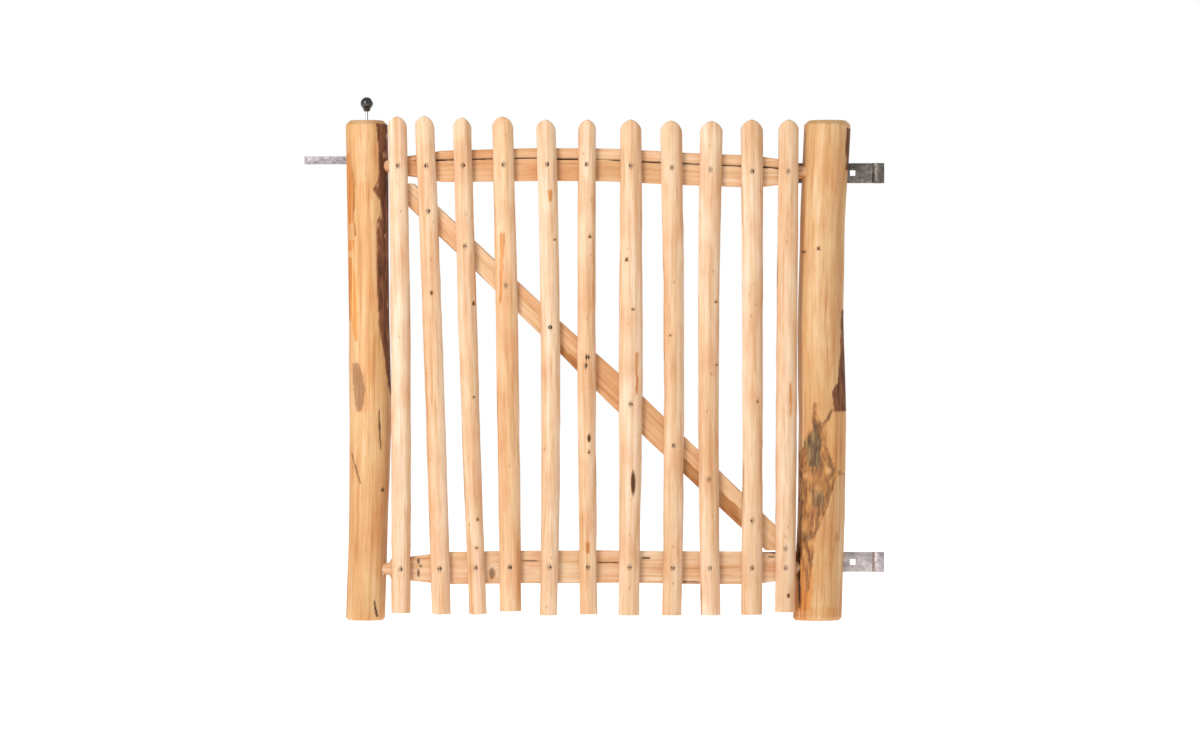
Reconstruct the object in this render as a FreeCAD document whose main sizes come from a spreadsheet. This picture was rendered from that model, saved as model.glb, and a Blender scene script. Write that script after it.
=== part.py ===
import FreeCAD, Part
import math
import os
import Sketcher

# Peeled chestnut paling gate leaf, nominal 1.0 m wide and 1.0 m high.
# Frame: origin at the centre of the lower hinge eye, on the hinge axis. +X points away from the
# leaf past the hinge side, +Y to the rear of the leaf, +Z up. Millimetres.

doc = FreeCAD.newDocument("garden_gate")

SIZES = {
    # overall
    "gate_span": 909,  # between the two posts' nominal centrelines
    "hinge_post_offset": 113,  # hinge axis to the hinge post's centreline
    "post_height": 1001,
    "foot_drop": 116,  # lower hinge eye down to the posts' feet
    "eye_spacing": 780,  # lower to upper hinge eye
    # depth of the layers
    "strap_thickness": 5,
    "strap_housing": 2,  # how deep the straps are let into the rails' backs
    "rail_depth": 34,  # flat face to rounded back of a half-round rail
    "rail_face_set": 26,  # rail's flat face in front of the posts' centreline
    "pale_thickness": 22,
    "pale_flank": 9,  # square edge behind the rounded front of a pale
    "pale_tip": 21,  # height of the pointed head
    # posts
    "post_top_chamfer": 9,
    "post_foot_chamfer": 5,
    # tenons
    "tenon_diameter": 27,
    "tenon_inset": 1,  # behind the rail's flat face
    "tenon_length": 45,
    "tenon_clearance": 0.2,
    "latch_shoulder": 43,  # post centreline to the rail's shoulder, latch side
    "hinge_shoulder": 56,  # the same at the hinge side
    # brace
    "brace_rise": 774,  # height of the brace's axis where it meets the latch post
    "brace_fall": 6.5,  # the same at the hinge post
    "brace_post_gap": 3,  # beyond the shoulders, so the ends clear the posts
    "brace_rail_gap": 0.5,
    # wood screws through the pales
    "screw_diameter": 4,
    "screw_length": 40,
    "screw_head_diameter": 8,
    "screw_head_height": 3,
    "screw_head_sink": 2,  # head top under the highest point of the pale's front
    "screw_clearance": 0.2,
    "twin_screw_spread": 16,
    # hinge straps
    "strap_width": 40,
    "strap_length": 300,
    "eye_outer_diameter": 25,
    "eye_bore_diameter": 16.5,
    "square_hole": 11,
    "strap_hole_1": 51,
    "strap_hole_2": 135,
    "strap_hole_3": 190,
    "strap_hole_4": 265,
    "strap_clearance": 0.25,
    # coach screws through the hinge post, strap and tenon
    "coach_diameter": 8,
    "coach_length": 56,
    "coach_seat": 33,  # flat seat for the washer behind the post's centreline
    "coach_head_height": 5.5,
    "coach_head_across": 13,
    "washer_diameter": 22,
    "washer_thickness": 2,
    # short coach screws from the strap into the rail
    "short_diameter": 6,
    "short_length": 27,
    "short_head_height": 4,
    "short_head_across": 10,
    "flange_diameter": 16,
    "flange_thickness": 1.5,
    # screws that lock the latch side tenons
    "lock_screw_drop": 10,  # below the tenon's axis
    "lock_screw_diameter": 5,
    "lock_screw_length": 48,
    "lock_seat": 26,  # head's seat behind the post's centreline
    # latch
    "latch_plane_set": 10.5,  # behind the latch post's centreline
    "latch_height": 806,
    "bar_height": 16,
    "bar_thickness": 5,
    "bar_nose": 129,  # latch post centreline to the nose
    "pivot_set": 22,  # latch post centreline to the pivot
    "pivot_diameter": 5,
    "pivot_clearance": 0.05,
    "rod_set": 4,  # latch post centreline to the pull rod, away from the pivot
    "rod_diameter": 5,
    "rod_clearance": 0.6,
    "slot_rise": 32,  # slot's top above the bar's axis
    "slot_side_gap": 0.75,
    "slot_floor_gap": 0.3,
    "clevis_cheek": 1.5,
    "clevis_gap": 0.5,
    "clevis_length": 10,
    "clevis_crown": 4,
    "clevis_headroom": 3,
    "clevis_pin_diameter": 4,
    "clevis_pin_play": 0.35,
    "clevis_slot_play": 1.8,
    "knob_diameter": 25,
    "knob_lift": 19,  # knob's underside above the post's top at rest
    "knob_neck": 3.5,
    "knob_neck_diameter": 12,
    "knob_bore_depth": 12,
    "knob_neck_flare": 4,  # wider at the ball than at the foot
    "knob_neck_overlap": 3,  # how far the neck runs into the ball
    "clevis_toe": 2.5,  # steel under the clevis pin's hole
    "pin_front_run": 8,  # pivot pin in front of the slot
    "pin_rear_run": 18,  # and behind it
    "lock_screw_shift": 9,  # from the middle of the tenon towards the leaf
    "twin_screw_shift": 2,  # sideways and up from the brace's axis
    "eye_root": 1,  # strap's flat stops this far short of the eye's bore
    # allowances of the tools that cut the pieces
    "overcut": 1,  # past a face that is cut through
    "blank_half": 150,  # half width of the blank that a post is turned from
    "cone_spread": 30,
    "slot_reach": 80,  # latch post's centreline to outside the post
    "strap_slot_half": 70,
    "seat_reach": 50,
    "pin_bore_rear": 51,
    "short_pilot_rear": 5,
    "brace_room_front": 10,
    "brace_room_depth": 100,
}

# Each pale as it was cleft: sideways shift from even spacing, how far the head and the foot lean
# from the middle, the three widths, how far the foot stands above the nominal line, the length.
PALES = [
    (0, -7, 0, 39, 41, 40, 3, 992),
    (-11, -19, 15, 40, 40, 40, 1, 995),
    (-18, -14, 18, 39, 39, 36, 1, 992),
    (-18, -10, 6, 44, 46, 45, 7, 988),
    (-9, -10, -4, 41, 40, 37, -1, 990),
    (-14, 1, 4, 37, 38, 37, 1, 988),
    (-3, 0, -4, 44, 49, 43, -1, 990),
    (6, -6, -4, 45, 42, 40, -1, 988),
    (-2, 6, 4, 47, 43, 41, -1, 987),
    (9, -2, -2, 46, 42, 43, 0, 989),
    (0, 4, -3, 42, 43, 42, 5, 984),
]
PALE_KEYS = ("shift", "head_lean", "foot_lean", "head_width", "mid_width", "foot_width", "foot_rise")
PALE_KEYS += ("length",)
SIZES["first_pale_margin"] = 66
SIZES["last_pale_margin"] = 72
SIZES["pale_foot_drop"] = 104
for number, pale in enumerate(PALES, 1):
    for key, value in zip(PALE_KEYS, pale):
        SIZES[f"pale_{number:02d}_{key}"] = value

# Posts: centreline offset and diameter at even stations from the foot to the top.
POSTS = {
    "latch_post": ((-6, 80), (0, 80), (4, 86), (1, 82), (-1, 84), (-4, 85)),
    "hinge_post": ((-10, 99), (-2, 96), (1, 97), (-3, 92), (1, 92), (11, 95)),
}
for post, stations in POSTS.items():
    for number, (lean, diameter) in enumerate(stations, 1):
        SIZES[f"{post}_lean_{number}"] = lean
        SIZES[f"{post}_diameter_{number}"] = diameter

# Rails: height of the axis above its hinge eye and half height, at stations along the length.
RAIL_STATIONS = (0, 0.13, 0.35, 0.54, 0.73, 0.91, 1)
RAILS = {
    "top_rail": ((13, 17), (12, 32.5), (15.5, 33.5), (15, 33.5), (7, 33.5), (1, 32.5), (1, 23)),
    "bottom_rail": ((-13, 21), (-11, 33), (-8.5, 33.5), (-8, 33.5), (-10, 33.5), (-10, 33), (-10, 24)),
}
for rail, stations in RAILS.items():
    for number, (rise, half) in enumerate(stations, 1):
        SIZES[f"{rail}_rise_{number}"] = rise
        SIZES[f"{rail}_half_{number}"] = half

BRACE_STATIONS = (0, 0.25, 0.44, 0.55, 0.75, 1)
BRACE_OVERRUN = 0.05  # share of its length by which the pole is longer at each end before it is cut
BRACE_HALVES = (22, 22.5, 25, 29.5, 28, 25)
for number, half in enumerate(BRACE_HALVES, 1):
    SIZES[f"brace_half_{number}"] = half

sheet = doc.addObject("Spreadsheet::Sheet", "Sizes")
for row, (name, value) in enumerate(SIZES.items(), 1):
    sheet.set(f"A{row}", name)
    sheet.set(f"B{row}", str(value))
    sheet.setAlias(f"B{row}", name)

# Places worked out from the driving sizes; each is a cell that holds a formula.
PLACES = {
    "hinge_post_x": "-hinge_post_offset",
    "latch_post_x": "-hinge_post_offset - gate_span",
    "rail_back_y": "-strap_thickness / 2 + strap_housing",
    "rail_face_y": "rail_back_y - rail_depth",
    "post_y": "rail_face_y + rail_face_set",
    "tenon_y": "rail_face_y + tenon_inset + tenon_diameter / 2",
    "pale_front_y": "rail_face_y - pale_thickness",
    "foot_z": "-foot_drop",
    "rail_left_x": "latch_post_x + latch_shoulder",
    "rail_right_x": "hinge_post_x - hinge_shoulder",
    "rail_length": "rail_right_x - rail_left_x",
    "first_pale_x": "latch_post_x + first_pale_margin",
    "pale_pitch": f"(gate_span - first_pale_margin - last_pale_margin) / {len(PALES) - 1}",
    "brace_left_x": "rail_left_x + brace_post_gap",
    "brace_right_x": "rail_right_x - brace_post_gap",
    "brace_run": "brace_right_x - brace_left_x",
    "brace_drop": "brace_rise - brace_fall",
    "brace_length": "sqrt(brace_run ^ 2 + brace_drop ^ 2)",
    "latch_y": "post_y + latch_plane_set",
    "pivot_x": "latch_post_x + pivot_set",
    "rod_x": "latch_post_x - rod_set",
    "slot_width": "bar_thickness + 2 * (clevis_gap + clevis_cheek + slot_side_gap)",
    "post_top_z": "post_height - foot_drop",
    "knob_foot_z": "post_top_z + knob_lift",
    "screw_head_top_y": "pale_front_y + screw_head_sink",
}
for row, (name, formula) in enumerate(PLACES.items(), len(SIZES) + 1):
    sheet.set(f"A{row}", name)
    sheet.set(f"B{row}", "=" + formula)
    sheet.setAlias(f"B{row}", name)
doc.recompute()


def value(name):
    """The present value of a cell of the sheet."""
    return float(getattr(sheet, name))


def bind(obj, **formulas):
    """Bind properties to formulas of the sheet's names; a double underscore stands for a dot."""
    for prop, formula in formulas.items():
        obj.setExpression(prop.replace("__", "."), in_sheet(formula))
    return obj


def in_sheet(formula):
    """Put Sizes. in front of every name of the sheet in a formula."""
    words = []
    word = ""
    for letter in str(formula) + " ":
        if letter.isalnum() or letter == "_":
            word += letter
            continue
        if word in SIZES or word in PLACES:
            word = "Sizes." + word
        words.append(word + letter)
        word = ""
    return "".join(words).strip()


def place(obj, x="0", y="0", z="0"):
    """Bind an object's place to three formulas."""
    return bind(obj, Placement__Base__x=x, Placement__Base__y=y, Placement__Base__z=z)


def turn(obj, axis, degrees):
    """Turn an object about one axis of the frame through its own origin."""
    obj.Placement = FreeCAD.Placement(obj.Placement.Base, FreeCAD.Rotation(FreeCAD.Vector(*axis), degrees))
    return obj


TO_REAR = ((1, 0, 0), -90)  # turns a cylinder's axis from +Z to +Y


def box(name, x, y, z, length, width, height):
    """A Part::Box with its lowest corner at x, y, z."""
    obj = doc.addObject("Part::Box", name)
    bind(obj, Length=length, Width=width, Height=height)
    return place(obj, x, y, z)


def rod_y(name, x, y, z, diameter, length):
    """A Part::Cylinder that starts at x, y, z and runs to the rear, along +Y."""
    obj = turn(doc.addObject("Part::Cylinder", name), *TO_REAR)
    bind(obj, Radius=f"({diameter}) / 2", Height=length)
    return place(obj, x, y, z)


def rod_z(name, x, y, z, diameter, length):
    """A Part::Cylinder that starts at x, y, z and runs up."""
    obj = doc.addObject("Part::Cylinder", name)
    bind(obj, Radius=f"({diameter}) / 2", Height=length)
    return place(obj, x, y, z)


def rod_x(name, x, y, z, diameter, length):
    """A Part::Cylinder that starts at x, y, z and runs along +X."""
    obj = turn(doc.addObject("Part::Cylinder", name), (0, 1, 0), 90)
    bind(obj, Radius=f"({diameter}) / 2", Height=length)
    return place(obj, x, y, z)


def hexagon_y(name, x, y, z, across, length):
    """A six-sided Part::Prism along +Y, with its size across the flats."""
    obj = turn(doc.addObject("Part::Prism", name), *TO_REAR)
    obj.Polygon = 6
    bind(obj, Circumradius=f"({across}) / sqrt(3)", Height=length)
    return place(obj, x, y, z)


def fuse(name, shapes):
    """Join shapes to one solid."""
    obj = doc.addObject("Part::MultiFuse", name)
    obj.Shapes = shapes
    return obj


def group(name, shapes):
    """Keep shapes as separate solids of one object."""
    obj = doc.addObject("Part::Compound", name)
    obj.Links = shapes
    return obj


def cut(name, base, tools, apart=False):
    """Cut one or more tools out of a base; tools that don't meet each other are apart."""
    join = group if apart else fuse
    obj = doc.addObject("Part::Cut", name)
    obj.Base = base
    obj.Tool = tools[0] if len(tools) == 1 else join(name + "_tools", tools)
    obj.Refine = False
    return obj


def origin_plane(body, role):
    """The origin plane of a body that has the given role."""
    return next(feature for feature in body.Origin.OriginFeatures if feature.Role == role)


def sketch_on(body, name, role, x="0", y="0", offset="0"):
    """A sketch on one of a body's origin planes, moved within the plane and along its normal."""
    sketch = body.newObject("Sketcher::SketchObject", name)
    sketch.AttachmentSupport = [(origin_plane(body, role), "")]
    sketch.MapMode = "FlatFace"
    bind(sketch, AttachmentOffset__Base__x=x, AttachmentOffset__Base__y=y, AttachmentOffset__Base__z=offset)
    return sketch


def named(sketch, constraint, name, formula):
    """Add a dimension to a sketch and bind it to a formula."""
    index = sketch.addConstraint(constraint)
    sketch.renameConstraint(index, name)
    sketch.setExpression(f"Constraints.{name}", in_sheet(formula))


def circle_sketch(body, name, role, radius, x="0", y="0", offset="0"):
    """A sketch of one circle about its own origin."""
    sketch = sketch_on(body, name, role, x, y, offset)
    sketch.addGeometry(Part.Circle(FreeCAD.Vector(0, 0, 0), FreeCAD.Vector(0, 0, 1), 10), False)
    sketch.addConstraint(Sketcher.Constraint("Coincident", 0, 3, -1, 1))
    named(sketch, Sketcher.Constraint("Radius", 0, 10), "radius", radius)
    return sketch


def flattened_circle(body, name, role, radius_name, depth_name, x="0", y="0", offset="0"):
    """A sketch of a circle cut flat: the flat on the sketch's upright axis, the rest behind it."""
    sketch = sketch_on(body, name, role, x, y, offset)
    centre = f"min({depth_name} - {radius_name}, {NECK_SHARE} * {radius_name})"
    big = value(radius_name)
    behind = min(value(depth_name) - big, NECK_SHARE * big)
    half = math.sqrt(big * big - behind * behind)
    low = FreeCAD.Vector(0, -half, 0)
    high = FreeCAD.Vector(0, half, 0)
    sketch.addGeometry(Part.LineSegment(high, low), False)
    sketch.addGeometry(Part.Arc(low, FreeCAD.Vector(behind + big, 0, 0), high), False)
    sketch.addConstraint(Sketcher.Constraint("Coincident", 0, 1, 1, 2))
    sketch.addConstraint(Sketcher.Constraint("Coincident", 0, 2, 1, 1))
    sketch.addConstraint(Sketcher.Constraint("PointOnObject", 0, 1, -2))
    sketch.addConstraint(Sketcher.Constraint("PointOnObject", 0, 2, -2))
    sketch.addConstraint(Sketcher.Constraint("PointOnObject", 1, 3, -1))
    named(sketch, Sketcher.Constraint("DistanceX", -1, 1, 1, 3, behind), "behind", centre)
    named(sketch, Sketcher.Constraint("Radius", 1, big), "radius", radius_name)
    return sketch


NECK_SHARE = 0.85  # a thin neck keeps this much of its radius in front of its centre


def loft(body, name, sections, ruled=True):
    """A solid through the sketches of one body, straight or smooth from one to the next."""
    feature = body.newObject("PartDesign::AdditiveLoft", name)
    feature.Profile = sections[0]
    feature.Sections = sections[1:]
    feature.Ruled = ruled
    return feature


def rail_rise(rail, x):
    """Height of a rail's axis above its eye at x, read between its stations."""
    along = (x - value("rail_left_x")) / value("rail_length")
    along = min(max(along, 0), 1)
    for index in range(len(RAIL_STATIONS) - 1):
        low, high = RAIL_STATIONS[index : index + 2]
        if along <= high:
            break
    share = (along - low) / (high - low)
    first = f"{rail}_rise_{index + 1}"
    second = f"{rail}_rise_{index + 2}"
    return f"({first} * {1 - share:.4f} + {second} * {share:.4f})"


def pale_x(number):
    """Formula of a pale's middle."""
    return f"first_pale_x + pale_pitch * {number - 1} + pale_{number:02d}_shift"


def pale_centre(number, height):
    """Sideways place of a pale's centreline relative to its middle, at a share of its length."""
    tag = f"pale_{number:02d}"
    foot = (1 - height) * (1 - 2 * height)
    head = height * (2 * height - 1)
    return f"({tag}_foot_lean * {foot:.4f} + {tag}_head_lean * {head:.4f})"


def pale_width(number, height):
    """Width of a pale at a share of its length, straight between foot, middle and head."""
    tag = f"pale_{number:02d}"
    end = "foot" if height < 0.5 else "head"
    share = abs(2 * height - 1)
    return f"({tag}_{end}_width * {share:.4f} + {tag}_mid_width * {1 - share:.4f})"


def pale_share(number, z):
    """Share of a pale's length at which it passes height z."""
    tag = f"pale_{number:02d}"
    return (z + value("pale_foot_drop") - value(f"{tag}_foot_rise")) / value(f"{tag}_length")


def screw_places(number):
    """The screws of one pale: the piece that each goes into, and formulas of its x and z."""
    shift = value(f"pale_{number:02d}_shift")
    middle = value("first_pale_x") + value("pale_pitch") * (number - 1) + shift
    places = []
    for rail, eye in (("top_rail", "eye_spacing"), ("bottom_rail", "0")):
        z = f"{eye} + {rail_rise(rail, middle)}"
        share = pale_share(number, 1 if eye == "0" else value(eye))
        places.append((rail, f"{pale_x(number)} + {pale_centre(number, share)}", z))
    if number == 1:
        return places
    slope = value("brace_drop") / value("brace_run")
    axis_z = value("brace_rise") - slope * (middle - value("brace_left_x"))
    x = f"{pale_x(number)} + {pale_centre(number, pale_share(number, axis_z))}"
    z = f"brace_rise - brace_drop / brace_run * ({x} - brace_left_x)"
    if number == TWIN_SCREW_PALE:
        middle_z = f"{z} + twin_screw_shift"
        places.append(("brace", f"{x} + twin_screw_shift", f"{middle_z} + twin_screw_spread / 2"))
        places.append(("brace", f"{x} - twin_screw_shift", f"{middle_z} - twin_screw_spread / 2"))
    elif number == len(PALES):
        places.append(("brace", x, f"{z} + 2 * screw_diameter"))
    else:
        places.append(("brace", x, z))
    return places


TWIN_SCREW_PALE = 6
SCREWS = [(number, *screw) for number in range(1, len(PALES) + 1) for screw in screw_places(number)]
PARTS = []


def keep(obj, label):
    """Name an object as one sub-part of the gate."""
    obj.Label = label
    PARTS.append(obj)
    return obj


# ---- wooden pieces


def round_post(label, x):
    """A peeled post: a slightly bent, slightly uneven round with chamfered ends."""
    body = doc.addObject("PartDesign::Body", label + "_round")
    place(body, x, "post_y", "foot_z")
    sections = []
    count = len(POSTS[label])
    for number in range(1, count + 1):
        sections.append(
            circle_sketch(
                body,
                f"{label}_ring_{number}",
                "XY_Plane",
                f"{label}_diameter_{number} / 2",
                x=f"{label}_lean_{number}",
                offset=f"post_height * {(number - 1) / (count - 1):.4f}",
            )
        )
    body.Tip = loft(body, label + "_stem", sections)
    trimmed = doc.addObject("Part::Common", label + "_chamfered")
    trimmed.Base = body
    trimmed.Tool = end_chamfers(label, x, count)
    return trimmed


def end_chamfers(label, x, count):
    """A blank that is wider than the post, with a 45 degree cone at each end for the chamfers."""
    ends = []
    for end, number, size in (("foot", 1, "post_foot_chamfer"), ("top", count, "post_top_chamfer")):
        cone = doc.addObject("Part::Cone", f"{label}_{end}_cone")
        narrow = f"{label}_diameter_{number} / 2 - {size}"
        wide = f"{label}_diameter_{number} / 2 + cone_spread"
        z = "foot_z" if end == "foot" else f"post_top_z - {size} - cone_spread"
        radii = (narrow, wide) if end == "foot" else (wide, narrow)
        bind(cone, Radius1=radii[0], Radius2=radii[1], Height=f"{size} + cone_spread")
        place(cone, f"{x} + {label}_lean_{number}", "post_y", z)
        ends.append(cone)
    middle = box(
        label + "_blank",
        f"{x} - blank_half",
        "post_y - blank_half",
        "foot_z + post_foot_chamfer + cone_spread",
        "2 * blank_half",
        "2 * blank_half",
        "post_height - post_foot_chamfer - post_top_chamfer - 2 * cone_spread",
    )
    return fuse(label + "_blank_ends", [*ends, middle])


def mortise(label, rail, x, eye, station):
    """The round hole for a rail's tenon, from x to the tenon's end and its clearance."""
    return rod_x(
        f"{label}_{rail}_mortise",
        x,
        "tenon_y",
        f"{eye} + {rail}_rise_{station}",
        "tenon_diameter + 2 * tenon_clearance",
        "latch_shoulder + tenon_length",
    )


def latch_post():
    """Latch post: two mortises, the bar's slot, the rod's bore, the pin's and lock screws' bores."""
    body = round_post("latch_post", "latch_post_x")
    end = "rail_left_x - tenon_length - tenon_clearance"
    holes = [
        mortise("latch_post", "top_rail", end, "eye_spacing", 1),
        mortise("latch_post", "bottom_rail", end, "0", 1),
    ]
    slot = box(
        "latch_slot",
        "latch_post_x - slot_reach",
        "latch_y - slot_width / 2",
        "latch_height - bar_height / 2 - slot_floor_gap",
        "slot_reach + pivot_set + bar_height / 2 + overcut",
        "slot_width",
        "bar_height / 2 + slot_floor_gap + slot_rise",
    )
    bore = rod_z(
        "rod_bore",
        "rod_x",
        "latch_y",
        "latch_height",
        "rod_diameter + 2 * rod_clearance",
        "post_top_z - latch_height + overcut",
    )
    pin = rod_y(
        "pivot_bore",
        "pivot_x",
        "latch_y - slot_width / 2 - pin_front_run - overcut",
        "latch_height",
        "pivot_diameter",
        "slot_width + pin_front_run + overcut + pin_bore_rear",
    )
    locks = lock_screw_bores()
    cavity = fuse("latch_cavity", [slot, bore, pin])
    return keep(cut("latch_post_cut", body, [*holes, cavity, *locks]), "latch_post")


LOCKED = (("top_rail", "eye_spacing"), ("bottom_rail", "0"))
LOCK_REAR = "post_y + lock_seat"
LOCK_X = "rail_left_x - tenon_length / 2 + lock_screw_shift"
LOCK_HEAD = "lock_screw_diameter * 2"


def lock_screw_bores():
    """Bores and head seats in the latch post for the screws that lock the tenons."""
    bores = []
    for rail, eye in LOCKED:
        z = f"{eye} + {rail}_rise_1 - lock_screw_drop"
        bores.append(
            rod_y(
                f"{rail}_lock_bore",
                LOCK_X,
                LOCK_REAR + " - lock_screw_length - overcut",
                z,
                "lock_screw_diameter + 2 * screw_clearance",
                "lock_screw_length + 2 * overcut",
            )
        )
        seat = LOCK_HEAD + " + overcut"
        bores.append(rod_y(f"{rail}_lock_seat", LOCK_X, LOCK_REAR, z, seat, "seat_reach"))
    return bores


def hinge_post():
    """Hinge post: two mortises, a slot for each strap and a bore for each coach screw."""
    body = round_post("hinge_post", "hinge_post_x")
    start = "rail_right_x - latch_shoulder + tenon_clearance"
    last = len(RAIL_STATIONS)
    holes = [
        mortise("hinge_post", "top_rail", start, "eye_spacing", last),
        mortise("hinge_post", "bottom_rail", start, "0", last),
    ]
    for level, eye in STRAP_LEVELS:
        slot = box(
            f"{level}_strap_slot",
            "hinge_post_x - strap_slot_half",
            "-strap_thickness / 2 - strap_clearance",
            f"{eye} - strap_width / 2 - strap_clearance",
            "2 * strap_slot_half",
            "strap_thickness + 2 * strap_clearance",
            "strap_width + 2 * strap_clearance",
        )
        bore = rod_y(
            f"{level}_coach_bore",
            "-strap_hole_2",
            COACH_REAR + " - coach_length - overcut",
            eye,
            "coach_diameter + 2 * screw_clearance",
            "coach_length + 2 * overcut",
        )
        wide = "washer_diameter + 2 * overcut"
        seat = rod_y(f"{level}_coach_seat", "-strap_hole_2", COACH_REAR, eye, wide, "seat_reach")
        holes.append(fuse(f"{level}_strap_cavity", [slot, bore, seat]))
    return keep(cut("hinge_post_cut", body, holes), "hinge_post")


STRAP_LEVELS = (("upper", "eye_spacing"), ("lower", "0"))
COACH_REAR = "post_y + coach_seat"


def rail(label, eye):
    """A half-round rail, flat in front and tapered at the ends, with a round tenon at each."""
    body = doc.addObject("PartDesign::Body", label + "_round")
    place(body, "rail_left_x", "0", eye)
    sections = []
    last = len(RAIL_STATIONS)
    for number, share in enumerate(RAIL_STATIONS, 1):
        sections.append(
            flattened_circle(
                body,
                f"{label}_ring_{number}",
                "YZ_Plane",
                f"{label}_half_{number}",
                "rail_depth",
                x="rail_face_y",
                y=f"{label}_rise_{number}",
                offset=f"rail_length * {share}",
            )
        )
    loft(body, label + "_pole", sections)
    ends = (("left", 1, "0", True), ("right", last, "rail_length", False))
    for side, number, offset, away in ends:
        ring = circle_sketch(
            body,
            f"{label}_{side}_tenon_ring",
            "YZ_Plane",
            "tenon_diameter / 2",
            x="tenon_y",
            y=f"{label}_rise_{number}",
            offset=offset,
        )
        tenon = body.newObject("PartDesign::Pad", f"{label}_{side}_tenon")
        tenon.Profile = ring
        tenon.Reversed = away
        bind(tenon, Length="tenon_length")
    body.Tip = tenon
    doc.recompute()
    return body


def rail_with_holes(label, eye):
    """A rail with its pilot holes and the strap's housing."""
    strap = box(
        f"{label}_strap_bed",
        "-strap_length - strap_clearance",
        "-strap_thickness / 2",
        f"{eye} - strap_width / 2 - strap_clearance",
        "strap_length",
        "rail_depth",
        "strap_width + 2 * strap_clearance",
    )
    bedded = cut(f"{label}_bedded", rail(label, eye), [strap])
    holes = pilot_holes(label)
    for number in (3, 4):
        holes.append(
            rod_y(
                f"{label}_short_pilot_{number}",
                f"-strap_hole_{number}",
                "-strap_thickness / 2 - short_length - overcut",
                eye,
                "short_diameter + 2 * screw_clearance",
                "short_length + short_pilot_rear",
            )
        )
    holes.append(
        rod_y(
            f"{label}_coach_pilot",
            "-strap_hole_2",
            COACH_REAR + " - coach_length - overcut",
            eye,
            "coach_diameter + 2 * screw_clearance",
            "coach_length",
        )
    )
    holes.append(
        rod_y(
            f"{label}_lock_pilot",
            LOCK_X,
            LOCK_REAR + " - lock_screw_length - overcut",
            f"{eye} + {label}_rise_1 - lock_screw_drop",
            "lock_screw_diameter + 2 * screw_clearance",
            "lock_screw_length",
        )
    )
    return keep(cut(f"{label}_cut", bedded, holes, apart=True), label)


def pilot_holes(target):
    """The screws' pilot holes in one rail or in the brace."""
    holes = []
    for number, piece, x, z in SCREWS:
        if piece == target:
            holes.append(
                rod_y(
                    f"{target}_pilot_{len(holes) + 1}",
                    x,
                    "rail_face_y - overcut",
                    z,
                    "screw_diameter + 2 * screw_clearance",
                    "screw_head_top_y + screw_length - rail_face_y + 2 * overcut",
                )
            )
    return holes


def brace():
    """A half-round brace from the upper latch corner to the lower hinge corner."""
    body = doc.addObject("PartDesign::Body", "brace_round")
    place(body, "brace_left_x", "rail_face_y", "brace_rise")
    steep = math.degrees(math.atan(value("brace_drop") / value("brace_run")))
    body.Placement.Rotation = FreeCAD.Rotation(FreeCAD.Vector(0, 1, 0), steep)
    bind(body, Placement__Rotation__Angle="atan(brace_drop / brace_run)")
    sections = []
    for number, share in enumerate(BRACE_STATIONS, 1):
        sections.append(
            flattened_circle(
                body,
                f"brace_ring_{number}",
                "YZ_Plane",
                f"brace_half_{number}",
                "rail_depth",
                offset=f"brace_length * {(1 + 2 * BRACE_OVERRUN) * share - BRACE_OVERRUN:.4f}",
            )
        )
    loft(body, "brace_pole", sections)
    doc.recompute()
    floor = "bottom_rail_rise_6 + bottom_rail_half_3 + brace_rail_gap"
    ceiling = "eye_spacing + top_rail_rise_2 - top_rail_half_3 - brace_rail_gap"
    room = box(
        "brace_room",
        "brace_left_x",
        "rail_face_y - brace_room_front",
        floor,
        "brace_run",
        "brace_room_depth",
        f"{ceiling} - ({floor})",
    )
    trimmed = doc.addObject("Part::Common", "brace_trimmed")
    trimmed.Base = body
    trimmed.Tool = room
    return keep(cut("brace_cut", trimmed, pilot_holes("brace"), apart=True), "brace")


PALE_STATIONS = (0, 0.25, 0.5, 0.75, 1)


# half width, flank, thickness and crown radius from which a section's sketch is solved
PALE_START = (20, 9, 22, 22)


def pale_section(body, name, number, share):
    """A pale's cross-section: flat back, square flanks and a crowned front."""
    tag = f"pale_{number:02d}"
    offset = f"{tag}_length * {share}"
    sketch = sketch_on(body, name, "XY_Plane", x=pale_centre(number, share), offset=offset)
    half, flank, thickness, radius = PALE_START
    back_left = FreeCAD.Vector(-half, 0, 0)
    back_right = FreeCAD.Vector(half, 0, 0)
    front_right = FreeCAD.Vector(half, -flank, 0)
    front_left = FreeCAD.Vector(-half, -flank, 0)
    sketch.addGeometry(Part.LineSegment(back_left, back_right), False)
    sketch.addGeometry(Part.LineSegment(back_right, front_right), False)
    sketch.addGeometry(Part.LineSegment(front_left, back_left), False)
    sketch.addGeometry(Part.Arc(front_left, FreeCAD.Vector(0, -thickness, 0), front_right), False)
    for first, end, second, start in ((0, 2, 1, 1), (2, 2, 0, 1), (3, 1, 2, 1), (3, 2, 1, 2)):
        sketch.addConstraint(Sketcher.Constraint("Coincident", first, end, second, start))
    sketch.addConstraint(Sketcher.Constraint("PointOnObject", 0, 1, -1))
    sketch.addConstraint(Sketcher.Constraint("Symmetric", 0, 1, 0, 2, -2))
    sketch.addConstraint(Sketcher.Constraint("Vertical", 1))
    sketch.addConstraint(Sketcher.Constraint("Vertical", 2))
    sketch.addConstraint(Sketcher.Constraint("Equal", 1, 2))
    width = pale_width(number, share)
    rise = "(pale_thickness - pale_flank)"
    named(sketch, Sketcher.Constraint("DistanceX", 0, 1, 0, 2, 2 * half), "width", width)
    named(sketch, Sketcher.Constraint("DistanceY", 1, 2, 1, 1, flank), "flank", "pale_flank")
    crown = f"(({width} / 2) ^ 2 + {rise} ^ 2) / (2 * {rise})"
    named(sketch, Sketcher.Constraint("Radius", 3, radius), "crown", crown)
    return sketch


HEAD_ROUND = 0.62  # radius of a head's two arcs as a share of its width
HEAD_BULGE = 0.67  # where the arcs are drawn to first, as a share of the head's rise


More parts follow.
